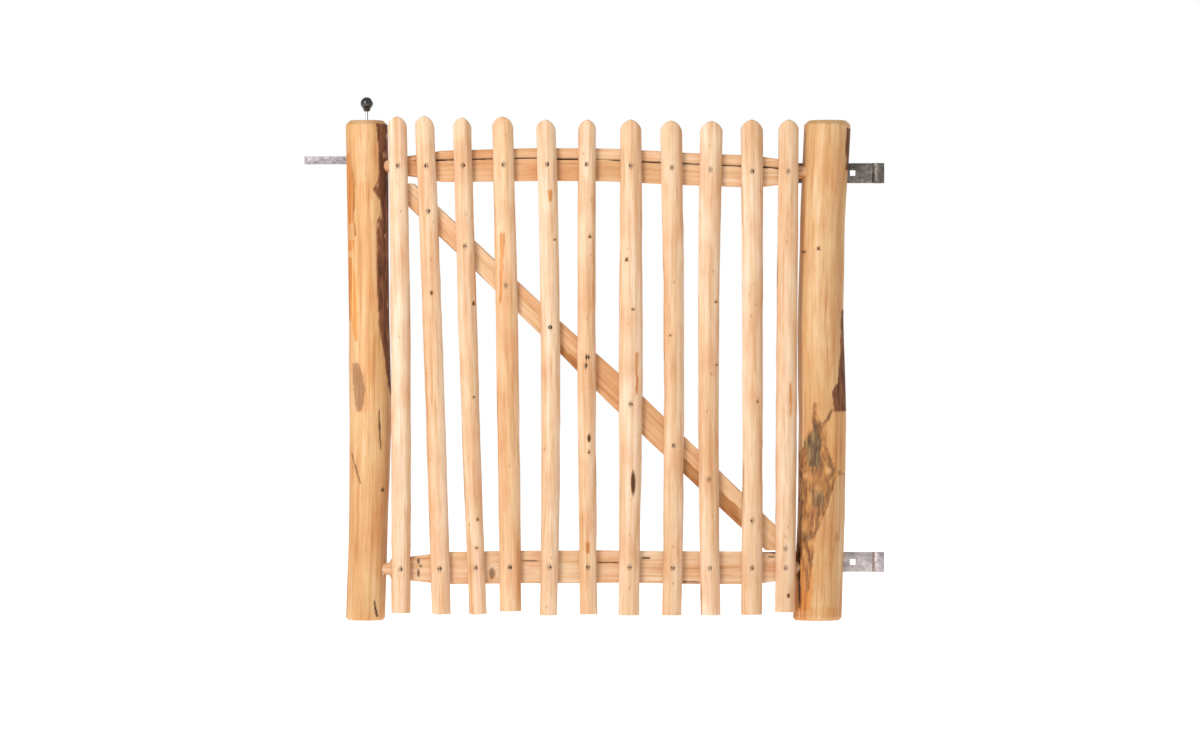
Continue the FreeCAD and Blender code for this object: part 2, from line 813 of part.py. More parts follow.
def pointed_head(body, number):
    """Pocket that leaves a pale's head as a blunt rounded point."""
    tag = f"pale_{number:02d}"
    foot = f"{tag}_length - pale_tip"
    sketch = sketch_on(body, tag + "_head", "XZ_Plane", x=f"{tag}_head_lean", y=foot)
    half = value(f"{tag}_head_width") / 2
    rise = value("pale_tip")
    wide = 3 * half
    high = 2 * rise
    tip = FreeCAD.Vector(0, rise, 0)
    left = FreeCAD.Vector(-half, 0, 0)
    right = FreeCAD.Vector(half, 0, 0)
    corners = [
        left,
        FreeCAD.Vector(-wide, 0, 0),
        FreeCAD.Vector(-wide, high, 0),
        FreeCAD.Vector(wide, high, 0),
        FreeCAD.Vector(wide, 0, 0),
        right,
    ]
    for start, end in zip(corners, corners[1:]):
        sketch.addGeometry(Part.LineSegment(start, end), False)
    bulge = (half * HEAD_ROUND, rise * HEAD_BULGE, 0)
    sketch.addGeometry(Part.Arc(right, FreeCAD.Vector(*bulge), tip), False)
    sketch.addGeometry(Part.Arc(tip, FreeCAD.Vector(-bulge[0], bulge[1], 0), left), False)
    for first, second in ((0, 1), (1, 2), (2, 3), (3, 4)):
        sketch.addConstraint(Sketcher.Constraint("Coincident", first, 2, second, 1))
    sketch.addConstraint(Sketcher.Constraint("Coincident", 4, 2, 5, 1))
    sketch.addConstraint(Sketcher.Constraint("Coincident", 5, 2, 6, 1))
    sketch.addConstraint(Sketcher.Constraint("Coincident", 6, 2, 0, 1))
    for line in (0, 2):
        sketch.addConstraint(Sketcher.Constraint("Horizontal", line))
    for line in (1, 3):
        sketch.addConstraint(Sketcher.Constraint("Vertical", line))
    sketch.addConstraint(Sketcher.Constraint("Symmetric", 0, 1, 4, 2, -2))
    sketch.addConstraint(Sketcher.Constraint("Symmetric", 0, 2, 4, 1, -2))
    sketch.addConstraint(Sketcher.Constraint("PointOnObject", 0, 1, -1))
    sketch.addConstraint(Sketcher.Constraint("PointOnObject", 5, 2, -2))
    sketch.addConstraint(Sketcher.Constraint("Equal", 5, 6))
    width = f"{tag}_head_width"
    distances = (
        ("DistanceX", 0, 1, 4, 2, 2 * half, "shoulders", width + " + overcut"),
        ("DistanceX", 1, 1, 3, 2, 2 * wide, "wide", width + " * 3"),
        ("DistanceY", 1, 1, 1, 2, high, "high", "pale_tip * 2"),
        ("DistanceY", 4, 2, 5, 2, rise, "tip", "pale_tip"),
    )
    for *ends, name, formula in distances:
        named(sketch, Sketcher.Constraint(*ends), name, formula)
    radius = 2 * half * HEAD_ROUND
    named(sketch, Sketcher.Constraint("Radius", 5, radius), "round", f"{width} * {HEAD_ROUND}")
    pocket = body.newObject("PartDesign::Pocket", tag + "_point")
    pocket.Profile = sketch
    pocket.SideType = "Symmetric"
    bind(pocket, Length="pale_thickness * 4")
    return pocket


def pale(number):
    """One cleft pale with its screw holes."""
    tag = f"pale_{number:02d}"
    body = doc.addObject("PartDesign::Body", tag + "_cleft")
    place(body, pale_x(number), "rail_face_y", f"-pale_foot_drop + {tag}_foot_rise")
    sections = []
    for index, share in enumerate(PALE_STATIONS, 1):
        sections.append(pale_section(body, f"{tag}_section_{index}", number, share))
    stem = loft(body, tag + "_stem", sections, ruled=False)
    doc.recompute()
    before = stem.Shape.Volume
    body.Tip = pointed_head(body, number)
    doc.recompute()
    if body.Shape.Volume >= before:
        raise RuntimeError(f"{tag}: the point wasn't cut")
    holes = []
    for screw, (owner, piece, x, z) in enumerate(SCREWS):
        if owner != number:
            continue
        shank = rod_y(
            f"{tag}_hole_{screw}",
            x,
            "pale_front_y - overcut",
            z,
            "screw_diameter + 2 * screw_clearance",
            "pale_thickness + 2 * overcut",
        )
        sink = rod_y(
            f"{tag}_sink_{screw}",
            x,
            "pale_front_y - overcut",
            z,
            "screw_head_diameter + 2 * screw_clearance",
            "screw_head_sink + screw_head_height + overcut",
        )
        holes.append(fuse(f"{tag}_screw_hole_{screw}", [shank, sink]))
    return keep(cut(tag + "_cut", body, holes, apart=True), tag)


# ---- fasteners


def wood_screws(piece, label):
    """The screws that go through the pales into one piece."""
    screws = []
    for number, target, x, z in SCREWS:
        if target != piece:
            continue
        tag = f"{label}_{len(screws) + 1}"
        top = "screw_head_top_y"
        head = rod_y(tag + "_head", x, top, z, "screw_head_diameter", "screw_head_height")
        shank = rod_y(
            tag + "_shank",
            x,
            "screw_head_top_y + screw_head_height / 2",
            z,
            "screw_diameter",
            "screw_length - screw_head_height / 2",
        )
        deep = "overcut + screw_head_height / 2"
        recess = hexagon_y(tag + "_recess", x, top + " - overcut", z, "screw_diameter", deep)
        screws.append(cut(tag, fuse(tag + "_solid", [head, shank]), [recess]))
    return keep(group(label + "_group", screws), label)


LOCK_HEAD_SHARE = 0.7  # a lock screw's head height as a share of its diameter


def lock_screws():
    """Two screws from behind the latch post through the tenons."""
    screws = []
    for name, eye in LOCKED:
        x = LOCK_X
        z = f"{eye} + {name}_rise_1 - lock_screw_drop"
        shank = rod_y(
            f"{name}_lock_shank",
            x,
            LOCK_REAR + " - lock_screw_length",
            z,
            "lock_screw_diameter",
            "lock_screw_length",
        )
        thick = f"lock_screw_diameter * {LOCK_HEAD_SHARE}"
        head = rod_y(f"{name}_lock_head", x, LOCK_REAR, z, LOCK_HEAD, thick)
        screws.append(fuse(f"{name}_lock_screw", [head, shank]))
    return keep(group("tenon_lock_screw_group", screws), "tenon_lock_screws")


def coach_screws():
    """Hexagon-headed coach screws from behind the hinge post, through strap and tenon."""
    screws = []
    washers = []
    for level, eye in STRAP_LEVELS:
        x = "-strap_hole_2"
        head = hexagon_y(
            level + "_coach_head",
            x,
            COACH_REAR + " + washer_thickness",
            eye,
            "coach_head_across",
            "coach_head_height",
        )
        shank = rod_y(
            level + "_coach_shank",
            x,
            COACH_REAR + " - coach_length",
            eye,
            "coach_diameter",
            "coach_length + washer_thickness",
        )
        screws.append(fuse(level + "_coach_screw", [head, shank]))
        thick = "washer_thickness"
        disc = rod_y(level + "_washer_disc", x, COACH_REAR, eye, "washer_diameter", thick)
        bore = rod_y(
            level + "_washer_bore",
            x,
            COACH_REAR + " - overcut",
            eye,
            "coach_diameter + 2 * screw_clearance",
            "washer_thickness + 2 * overcut",
        )
        washers.append(cut(level + "_washer", disc, [bore]))
    keep(group("coach_screw_group", screws), "coach_screws")
    keep(group("coach_washer_group", washers), "coach_washers")


def short_coach_screws():
    """Flanged coach screws from behind the straps into the rails."""
    screws = []
    for level, eye in STRAP_LEVELS:
        for number in (3, 4):
            tag = f"{level}_short_{number}"
            x = f"-strap_hole_{number}"
            rear = "strap_thickness / 2"
            head = hexagon_y(
                tag + "_head",
                x,
                rear + " + flange_thickness",
                eye,
                "short_head_across",
                "short_head_height",
            )
            flange = rod_y(tag + "_flange", x, rear, eye, "flange_diameter", "flange_thickness")
            shank = rod_y(
                tag + "_shank",
                x,
                "-strap_thickness / 2 - short_length",
                eye,
                "short_diameter",
                "short_length + strap_thickness + flange_thickness",
            )
            screws.append(fuse(tag, [head, flange, shank]))
    return keep(group("strap_screw_group", screws), "strap_screws")


# ---- hinge straps


def hinge_strap(level, eye):
    """A flat strap rolled into a hinge eye, with square holes along it."""
    label = f"{level}_hinge_strap"
    plate = box(
        label + "_plate",
        "-strap_length",
        "-strap_thickness / 2",
        f"{eye} - strap_width / 2",
        "strap_length - eye_bore_diameter / 2 - eye_root",
        "strap_thickness",
        "strap_width",
    )
    low = f"{eye} - strap_width / 2"
    barrel = rod_z(label + "_barrel", "0", "0", low, "eye_outer_diameter", "strap_width")
    solid = fuse(label + "_solid", [plate, barrel])
    under = f"{eye} - strap_width"
    tools = [rod_z(label + "_bore", "0", "0", under, "eye_bore_diameter", "strap_width * 2")]
    for number in range(1, 5):
        tools.append(
            box(
                f"{label}_hole_{number}",
                f"-strap_hole_{number} - square_hole / 2",
                "-strap_thickness",
                f"{eye} - square_hole / 2",
                "square_hole",
                "strap_thickness * 2",
                "square_hole",
            )
        )
    return keep(cut(label + "_cut", solid, tools), label)


# ---- latch


def latch_bar():
    """Flat bar on the pivot pin, with a round inner end and an elongated hole for the rod's pin."""
    bar = box(
        "latch_bar_flat",
        "latch_post_x - bar_nose",
        "latch_y - bar_thickness / 2",
        "latch_height - bar_height / 2",
        "bar_nose + pivot_set",
        "bar_thickness",
        "bar_height",
    )
    end = rod_y(
        "latch_bar_end",
        "pivot_x",
        "latch_y - bar_thickness / 2",
        "latch_height",
        "bar_height",
        "bar_thickness",
    )
    bore = rod_y(
        "latch_bar_bore",
        "pivot_x",
        "latch_y - bar_thickness",
        "latch_height",
        "pivot_diameter + 2 * pivot_clearance",
        "bar_thickness * 2",
    )
    window = box(
        "latch_bar_window",
        "rod_x - clevis_pin_diameter / 2 - clevis_slot_play",
        "latch_y - bar_thickness",
        "latch_height - clevis_pin_diameter / 2 - clevis_pin_play",
        "clevis_pin_diameter + 2 * clevis_slot_play",
        "bar_thickness * 2",
        "clevis_pin_diameter + 2 * clevis_pin_play",
    )
    solid = fuse("latch_bar_solid", [bar, end])
    return keep(cut("latch_bar_cut", solid, [bore, window]), "latch_bar")


def latch_pivot_pin():
    """Steel pin driven in from behind the latch post."""
    pin = rod_y(
        "latch_pivot_pin_rod",
        "pivot_x",
        "latch_y - slot_width / 2 - pin_front_run",
        "latch_height",
        "pivot_diameter",
        "slot_width + pin_front_run + pin_rear_run",
    )
    return keep(pin, "latch_pivot_pin")


CLEVIS_WIDTH = "(bar_thickness + 2 * (clevis_gap + clevis_cheek))"


def rod_clevis():
    """A small stirrup on the pull rod's end that straddles the bar."""
    low = "latch_height - clevis_pin_diameter / 2 - clevis_toe"
    inner_top = "latch_height + bar_height / 2 + clevis_headroom"
    block = box(
        "clevis_block",
        "rod_x - clevis_length / 2",
        f"latch_y - {CLEVIS_WIDTH} / 2",
        low,
        "clevis_length",
        CLEVIS_WIDTH,
        f"{inner_top} + clevis_crown - ({low})",
    )
    throat = box(
        "clevis_throat",
        "rod_x - clevis_length",
        "latch_y - bar_thickness / 2 - clevis_gap",
        "latch_height - bar_height",
        "clevis_length * 2",
        "bar_thickness + 2 * clevis_gap",
        f"{inner_top} - (latch_height - bar_height)",
    )
    bore = rod_y(
        "clevis_bore",
        "rod_x",
        "latch_y - slot_width",
        "latch_height",
        "clevis_pin_diameter",
        "slot_width * 2",
    )
    forked = cut("clevis_forked", block, [throat])
    return keep(cut("clevis_bored", forked, [bore]), "rod_clevis")


def clevis_pin():
    """Pin across the stirrup, through the bar's elongated hole."""
    pin = rod_y(
        "clevis_pin_rod",
        "rod_x",
        f"latch_y - {CLEVIS_WIDTH} / 2",
        "latch_height",
        "clevis_pin_diameter",
        CLEVIS_WIDTH,
    )
    return keep(pin, "clevis_pin")


def pull_rod():
    """Rod from the stirrup up through the post into the knob."""
    low = "(latch_height + bar_height / 2 + clevis_headroom + clevis_crown)"
    length = f"knob_foot_z + knob_bore_depth - {low}"
    rod = rod_z("pull_rod_round", "rod_x", "latch_y", low, "rod_diameter", length)
    return keep(rod, "pull_rod")


def ball_knob():
    """Ball knob on a short conical neck, bored for the rod."""
    centre = "(knob_foot_z + knob_neck + knob_diameter / 2)"
    ball = doc.addObject("Part::Sphere", "knob_ball")
    bind(ball, Radius="knob_diameter / 2")
    place(ball, "rod_x", "latch_y", centre)
    neck = doc.addObject("Part::Cone", "knob_neck")
    bind(
        neck,
        Radius1="knob_neck_diameter / 2",
        Radius2="(knob_neck_diameter + knob_neck_flare) / 2",
        Height="knob_neck + knob_neck_overlap",
    )
    place(neck, "rod_x", "latch_y", "knob_foot_z")
    bore = rod_z(
        "knob_bore",
        "rod_x",
        "latch_y",
        "knob_foot_z - overcut",
        "rod_diameter",
        "knob_bore_depth + overcut",
    )
    return keep(cut("knob_cut", fuse("knob_solid", [ball, neck]), [bore]), "ball_knob")


latch_post()
hinge_post()
for rail_name, rail_eye in LOCKED:
    rail_with_holes(rail_name, rail_eye)
brace()
for pale_number in range(1, len(PALES) + 1):
    pale(pale_number)
for target_name in ("top_rail", "bottom_rail", "brace"):
    wood_screws(target_name, target_name + "_screws")
lock_screws()
for strap_level, strap_eye in STRAP_LEVELS:
    hinge_strap(strap_level, strap_eye)
coach_screws()
short_coach_screws()
latch_bar()
latch_pivot_pin()
pull_rod()
rod_clevis()
clevis_pin()
ball_knob()
doc.recompute()

for obj in doc.Objects:
    bad = [state for state in obj.State if state in ("Invalid", "Error")]
    if bad:
        raise RuntimeError(f"{obj.Label} ({obj.Name}): {bad}")
for obj in PARTS:
    if obj.Shape.isNull() or not obj.Shape.isValid():
        raise RuntimeError(f"{obj.Label} has no valid shape")

os.makedirs("parts", exist_ok=True)
for obj in PARTS:
    obj.Shape.exportStep(f"parts/{obj.Label}.step")
print(len(PARTS), "sub-parts written")
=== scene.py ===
import math

import bmesh
import bpy
import numpy as np
from mathutils import Matrix, Vector
from mathutils.bvhtree import BVHTree
from mathutils.kdtree import KDTree


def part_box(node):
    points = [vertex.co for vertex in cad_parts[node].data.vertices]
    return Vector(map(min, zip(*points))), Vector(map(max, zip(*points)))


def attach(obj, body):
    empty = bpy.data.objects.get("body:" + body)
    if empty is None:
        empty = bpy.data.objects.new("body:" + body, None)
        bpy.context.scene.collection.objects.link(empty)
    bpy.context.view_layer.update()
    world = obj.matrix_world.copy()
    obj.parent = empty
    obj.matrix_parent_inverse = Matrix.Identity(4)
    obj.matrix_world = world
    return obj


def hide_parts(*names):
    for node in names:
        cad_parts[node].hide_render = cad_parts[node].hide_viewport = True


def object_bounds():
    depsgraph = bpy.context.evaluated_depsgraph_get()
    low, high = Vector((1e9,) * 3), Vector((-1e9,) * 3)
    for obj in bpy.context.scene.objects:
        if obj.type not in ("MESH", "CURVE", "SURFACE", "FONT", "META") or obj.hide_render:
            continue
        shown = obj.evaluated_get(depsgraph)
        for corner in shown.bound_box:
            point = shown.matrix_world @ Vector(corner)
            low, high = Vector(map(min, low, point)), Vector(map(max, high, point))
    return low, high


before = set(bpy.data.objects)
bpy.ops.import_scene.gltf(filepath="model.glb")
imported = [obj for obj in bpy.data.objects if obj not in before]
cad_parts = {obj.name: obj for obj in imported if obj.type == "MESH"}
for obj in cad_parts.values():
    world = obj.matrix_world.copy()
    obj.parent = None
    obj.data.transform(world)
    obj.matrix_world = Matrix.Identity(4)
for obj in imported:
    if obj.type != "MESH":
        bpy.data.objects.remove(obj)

cad_low, cad_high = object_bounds()
MM = 0.001

# ---------------------------------------------------------------------------------------------
# Posts: two peeled chestnut poles, a little bent, their ends chamfered with an axe. Strips of
# bark, and of the orange bast under it, stay on where the peeling iron missed them, and the
# hinge post has a long healed wound. Rail tenons and steel straps are let into both.


def linear(code):
    """An sRGB hex colour as linear RGBA."""
    parts = [int(code[i : i + 2], 16) / 255 for i in (1, 3, 5)]
    return [c / 12.92 if c <= 0.04045 else ((c + 0.055) / 1.055) ** 2.4 for c in parts] + [1.0]


def add(tree, kind, inputs=(), out=0, stops=(), **settings):
    """Adds a shader node with its settings, and its inputs from values or from other nodes."""
    made = tree.nodes.new(kind)
    for key, value in settings.items():
        setattr(made, key, value)
    for socket, value in dict(inputs).items():
        if isinstance(value, bpy.types.NodeSocket):
            tree.links.new(value, made.inputs[socket])
        else:
            made.inputs[socket].default_value = value
    if stops:
        elements = made.color_ramp.elements
        elements.remove(elements[1])
        elements[0].position, elements[0].color = stops[0][0], linear(stops[0][1])
        for place, code in stops[1:]:
            elements.new(place).color = linear(code)
    return made.outputs[out] if made.outputs else made


GAIN = "MULTIPLY_ADD"  # first input times the second, plus the third
BAST_TONES = ((0.36, "#A9622B"), (0.5, "#C98442"), (0.66, "#DAA76B"))
WOUND_TONES = (
    (0.3, "#4F3523"),
    (0.42, "#7F5431"),
    (0.52, "#A36C3B"),
    (0.62, "#BE8A50"),
    (0.74, "#DDB27C"),
)
MOULD_TONES = ((0.35, "#3D3024"), (0.5, "#604C33"), (0.66, "#94784F"))
KNOT_TONES = ((0.3, "#B67A45"), (0.85, "#54300F"))
BARK_TONES = ((0.3, "#4C2C1A"), (0.5, "#70442A"), (0.7, "#8F5E3D"))
# near-black of the drying checks; the same colour paints the painted shadow lines and the painted shade
# round the screws
CHECK_AND_SHADE_TONES = ((0.3, "#26150A"), (0.7, "#4A2C15"))
RING_TONES = ((0, "#B07C4C"), (0.3, "#D9AC7E"), (1, "#E8C49C"))
RING_GAP = 2.6  # between year rings, in mm
GRAIN_DEPTH = 0.0012  # what the relief's full height stands for, in metres


# Chestnut is honey coloured just under the bark, tan where the iron went deeper and pinkish
# cream where it shaved the wood. Real fibres are 0.3 mm apart, drawn here 1.6 mm apart to show.
def chestnut(name, tones, rough=0.6, relief=0.6, fibre=1.6):
    """Bare chestnut with bark, bast, knots, checks, painted shade and end grain where the mesh has them."""
    made = bpy.data.materials.new(name)
    made.use_nodes = True
    tree = made.node_tree
    tree.nodes.clear()
    marks = {}
    for key in ("bark", "bast", "knot", "check_and_shade", "wound", "mould", "end", "warm"):
        marks[key] = add(tree, "ShaderNodeAttribute", attribute_name=key, out="Fac")
    grain = add(tree, "ShaderNodeAttribute", attribute_name="grain", out="Vector")
    noise = {}
    # each size is in millimetres across and along the grain
    for key, across, along, detail, harsh, bend in (
        ("broad", 34, 420, 3, 0.5, 0),
        ("streak", 8, 230, 5, 0.62, 0.3),
        ("fibre", fibre, 55, 4, 0.65, 0),
        ("patch", 46, 90, 3, 0.5, 0),
        ("scab", 11, 34, 5, 0.6, 0.6),
        ("rind", 7, 40, 4, 0.55, 0.2),
    ):
        scaled = add(
            tree,
            "ShaderNodeVectorMath",
            {0: grain, 1: (1 / across, 1 / across, 1 / along)},
            operation="MULTIPLY",
        )
        noise[key] = add(
            tree,
            "ShaderNodeTexNoise",
            {"Vector": scaled, "Scale": 1, "Detail": detail, "Roughness": harsh, "Distortion": bend},
        )
    tone = 0.0
    for key, share in (("broad", 0.42), ("streak", 0.46), ("fibre", 0.2)):
        tone = add(tree, "ShaderNodeMath", {0: noise[key], 1: share, 2: tone}, operation=GAIN)
    stops = list(zip((0.42, 0.52, 0.6, 0.68), tones))
    wood = add(tree, "ShaderNodeValToRGB", {"Fac": tone}, stops=stops)
    layers = (
        ("rosy", 0.85, "MULTIPLY", noise["patch"], ((0.42, "#FFFFFF"), (0.68, "#F6DFD2"))),
        ("lines", 0.3, "MULTIPLY", noise["fibre"], ((0.33, "#C9A780"), (0.46, "#FFFFFF"))),
        ("streaks", 0.3, "MULTIPLY", noise["streak"], ((0.3, "#CFAE84"), (0.44, "#FFFFFF"))),
        ("tan", marks["warm"], "MULTIPLY", noise["broad"], ((0.3, "#F3D9B2"), (0.7, "#FAE6CC"))),
        ("bast", marks["bast"], "MIX", noise["streak"], BAST_TONES),
        ("wound", marks["wound"], "MIX", noise["scab"], WOUND_TONES),
        ("mould", marks["mould"], "MIX", noise["rind"], MOULD_TONES),
        ("knot", marks["knot"], "MIX", marks["knot"], KNOT_TONES),
        ("bark", marks["bark"], "MIX", noise["rind"], BARK_TONES),
        # the check layer: dark drying checks, and painted shadow and painted shade where the marks put them
        ("check_and_shade", marks["check_and_shade"], "MIX", noise["fibre"], CHECK_AND_SHADE_TONES),
    )
    for layer, share, blend, source, stops in layers:
        colour = add(tree, "ShaderNodeValToRGB", {"Fac": source}, stops=stops)
        wood = add(
            tree,
            "ShaderNodeMix",
            {0: share, 6: wood, 7: colour},
            out=2,
            data_type="RGBA",
            blend_type=blend,
            label=layer,
        )
    # end grain: year rings round the heart, pulled out of round by up to three rings
    across = (1 / RING_GAP, 1 / RING_GAP, 0)
    flat = add(tree, "ShaderNodeVectorMath", {0: grain, 1: across}, operation="MULTIPLY")
    rings = add(tree, "ShaderNodeVectorMath", {0: flat}, out="Value", operation="LENGTH")
    rings = add(tree, "ShaderNodeMath", {0: noise["patch"], 1: 3.0, 2: rings}, operation=GAIN)
    rings = add(tree, "ShaderNodeMath", {0: rings}, operation="FRACT")
    sawn = add(tree, "ShaderNodeValToRGB", {"Fac": rings}, stops=RING_TONES)
    wood = add(tree, "ShaderNodeMix", {0: marks["end"], 6: wood, 7: sawn}, out=2, data_type="RGBA")
    # bark is duller than wood, and bark and wounds stand rough
    rough_at = add(tree, "ShaderNodeMath", {0: noise["fibre"], 1: 0.2, 2: rough - 0.1}, operation=GAIN)
    rough_at = add(tree, "ShaderNodeMath", {0: marks["bark"], 1: 0.25, 2: rough_at}, operation=GAIN)
    height = add(tree, "ShaderNodeMath", {0: noise["fibre"], 1: 0.5, 2: noise["streak"]}, operation=GAIN)
    for key, share in (("bark", 1.2), ("wound", 2.2)):
        torn = add(tree, "ShaderNodeMath", {0: noise["scab"], 1: marks[key]}, operation="MULTIPLY")
        height = add(tree, "ShaderNodeMath", {0: torn, 1: share, 2: height}, operation=GAIN)
    bump = add(
        tree,
        "ShaderNodeBump",
        {"Height": height, "Strength": relief, "Distance": GRAIN_DEPTH},
        out="Normal",
    )
    shader = add(
        tree,
        "ShaderNodeBsdfPrincipled",
        {
            "Base Color": wood,
            "Roughness": rough_at,
            "Normal": bump,
            "IOR": 1.5,
            "Specular IOR Level": 0.3,
        },
    )
    add(tree, "ShaderNodeOutputMaterial", {"Surface": shader})
    return made


TABLE_SIZE = 8192
RANDOM_TABLE = np.random.RandomState(7).uniform(-1, 1, TABLE_SIZE)
CORNER_KEYS = (73856093, 19349663, 83492791)  # large primes that scatter the grid's corners
SEED_OFFSET = 17.31


def lumps(points, size, seed):
    """Smooth random heights from -1 to 1 at points; size is a lump's size along each axis."""
    spot_at = points / np.asarray(size) + seed * SEED_OFFSET
    cell = np.floor(spot_at).astype(np.int64)
    part = spot_at - cell
    part = part * part * (3 - 2 * part)
    total = 0
    for corner in np.ndindex(2, 2, 2):
        at = cell + corner
        keys = at * np.array(CORNER_KEYS)
        key = keys[..., 0] ^ keys[..., 1] ^ keys[..., 2]
        weight = np.prod(np.where(np.array(corner) == 1, part, 1 - part), axis=-1)
        total = total + weight * RANDOM_TABLE[key % TABLE_SIZE]
    return total


END_ZONE = 0.027  # length at each end that holds the chamfer or the point
END_GAP = 0.0004  # from an end face to the first ring
FELT_END_STEP = 0.0015
RING_END_STEP = 0.0018


def feel(node, start, end, spokes, skip=(), end_zone=END_ZONE, rest_step=0.018):
    """Rays from all round to a piece's axis give the centres and radii of its CAD solid.

    skip lists the stretches, as distances from start, in which slots or joints are cut.
    """
    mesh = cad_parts[node].data
    tree = BVHTree.FromPolygons([v.co for v in mesh.vertices], [p.vertices for p in mesh.polygons])
    start = Vector(start)
    axis = Vector(end) - start
    length = axis.length
    axis.normalize()
    rear = Vector((0, 1, 0))
    side = rear.cross(axis).normalized()
    rear = axis.cross(side)
    ends = np.arange(END_GAP, end_zone, FELT_END_STEP)
    along = np.concatenate([ends, np.arange(end_zone, length - end_zone, rest_step), length - ends[::-1]])
    for low, high in skip:
        along = along[(along < low) | (along > high)]
    turn = np.arange(spokes) * 2 * math.pi / spokes
    rays = [side * math.cos(a) + rear * math.sin(a) for a in turn]
    centres = np.zeros((len(along), 3))
    radii = np.full((len(along), spokes), np.nan)
    reach = 0.2
    shift = Vector((0, 0, 0))
    for row, place in enumerate(along):
        for attempt in range(2):
            centre = start + axis * place + shift
            hits = [tree.ray_cast(centre + ray * reach, -ray, reach)[0] for ray in rays]
            sizes = [np.nan if hit is None else (hit - centre).length for hit in hits]
            change = (sizes[0] - sizes[spokes // 2]) / 2
            if attempt == 0 and not np.isnan(change):
                shift = shift + side * change
        centres[row] = centre
        radii[row] = sizes
    for column in radii.T:
        known = ~np.isnan(column)
        column[~known] = np.interp(along[~known], along[known], column[known])
    calm = radii.copy()
    for row in range(1, len(along) - 1):
        calm[row] = np.median(radii[row - 1 : row + 2], axis=0)
    basis = {"side": np.array(side), "rear": np.array(rear), "axis": np.array(axis)}
    return {"along": along, "turn": turn, "centres": centres, "radii": calm, "length": length, **basis}


CAP_RINGS = (0.88, 0.72, 0.54, 0.36, 0.18, 0.04)  # end face rings, as shares of its radius
CAP_HOLLOW = 0.0008
SEED_SHIFT = 1700.0  # mm along the grain between one piece's pattern and the next one's
MARKS = ("bark", "bast", "knot", "check_and_shade", "wound", "mould")


def store(mesh, name, values, vector=False):
    """Writes one value or vector per vertex, for the material to read."""
    old = mesh.attributes.get(name)
    if old:
        mesh.attributes.remove(old)
    layer = mesh.attributes.new(name, "FLOAT_VECTOR" if vector else "FLOAT", "POINT")
    layer.data.foreach_set("vector" if vector else "value", np.asarray(values, np.float32).ravel())


def wooden(name, felt, step, depth, marks, material, warm=0.0, seed=1):
    """A wooden piece round its felt CAD solid, closed at both ends by rings of end grain.

    marks(x, z, points, grid) gives each named mark's share at the points, x and z in mm, and
    depth(grid, found) how far under the CAD solid the worked surface lies, in metres.
    """
    length = felt["length"]
    ends = np.arange(END_GAP, END_ZONE, RING_END_STEP)
    middle = np.linspace(END_ZONE, length - END_ZONE, int((length - 2 * END_ZONE) / step))
    along = np.concatenate([ends, middle, length - ends[::-1]])
    turn = felt["turn"]
    centres = np.stack([np.interp(along, felt["along"], c) for c in felt["centres"].T], 1)
    radii = np.stack([np.interp(along, felt["along"], r) for r in felt["radii"].T], 1)
    rings, spokes = radii.shape
    out = np.cos(turn)[:, None] * felt["side"] + np.sin(turn)[:, None] * felt["rear"]
    mean = radii.mean()
    grid = np.stack(np.broadcast_arrays(mean * np.cos(turn), mean * np.sin(turn), along[:, None]), -1)
    skin = centres[:, None] + out * radii[..., None]
    found = marks(skin[..., 0] / MM, skin[..., 2] / MM, skin, grid)
    skin = centres[:, None] + out * (radii - depth(grid, found))[..., None]
    across, up = radii * np.cos(turn), radii * np.sin(turn)
    place = np.stack(np.broadcast_arrays(across, up, along[:, None]), -1)
    shares = np.array(CAP_RINGS)[:, None, None]
    caps, cap_places = [], []
    for row, inward in ((0, 1), (-1, -1)):
        heart = skin[row].mean(axis=0)
        hollow = CAP_HOLLOW * (1 - shares) * inward * felt["axis"]
        caps.append(heart + (skin[row] - heart) * shares + hollow)
        cap_places.append(place[row] * np.concatenate([shares, shares, shares * 0 + 1], -1))
    full = np.concatenate([caps[0][::-1], skin, caps[1]])
    place = np.concatenate([cap_places[0][::-1], place, cap_places[1]])
    total = len(full)
    faces = []
    for row in range(total - 1):
        a, b = row * spokes, (row + 1) * spokes
        faces += [(a + i, a + (i + 1) % spokes, b + (i + 1) % spokes, b + i) for i in range(spokes)]
    faces.append(tuple(range(spokes))[::-1])
    faces.append(tuple(range((total - 1) * spokes, total * spokes)))
    mesh = bpy.data.meshes.new(name)
    mesh.from_pydata(full.reshape(-1, 3).tolist(), [], faces)
    mesh.update()
    mesh.shade_smooth()
    shift = np.array([0, 0, seed * SEED_SHIFT])
    store(mesh, "grain", place.reshape(-1, 3) / MM + shift, vector=True)
    pad = len(CAP_RINGS)
    for key in MARKS:
        values = np.zeros((total, spokes))
        values[pad:-pad] = found.get(key, 0)
        store(mesh, key, values)
    values = np.ones((total, spokes))
    values[pad:-pad] = 0
    store(mesh, "end", values)
    store(mesh, "warm", np.full(total * spokes, warm))
    mesh.materials.append(material)
    ob = bpy.data.objects.new(name, mesh)
    bpy.context.scene.collection.objects.link(ob)
    return ob


def box_tool(low, high):
    """A box that cuts a slot and is then thrown away."""
    corners = [(x, y, z) for z in (low[2], high[2]) for y in (low[1], high[1]) for x in (low[0], high[0])]
    quads = [(0, 2, 3, 1), (4, 5, 7, 6), (0, 1, 5, 4), (1, 3, 7, 5), (3, 2, 6, 7), (2, 0, 4, 6)]
    mesh = bpy.data.meshes.new("tool")
    mesh.from_pydata(corners, [], quads)
    return bpy.data.objects.new("tool", mesh)


TOOL_SIDES = 40


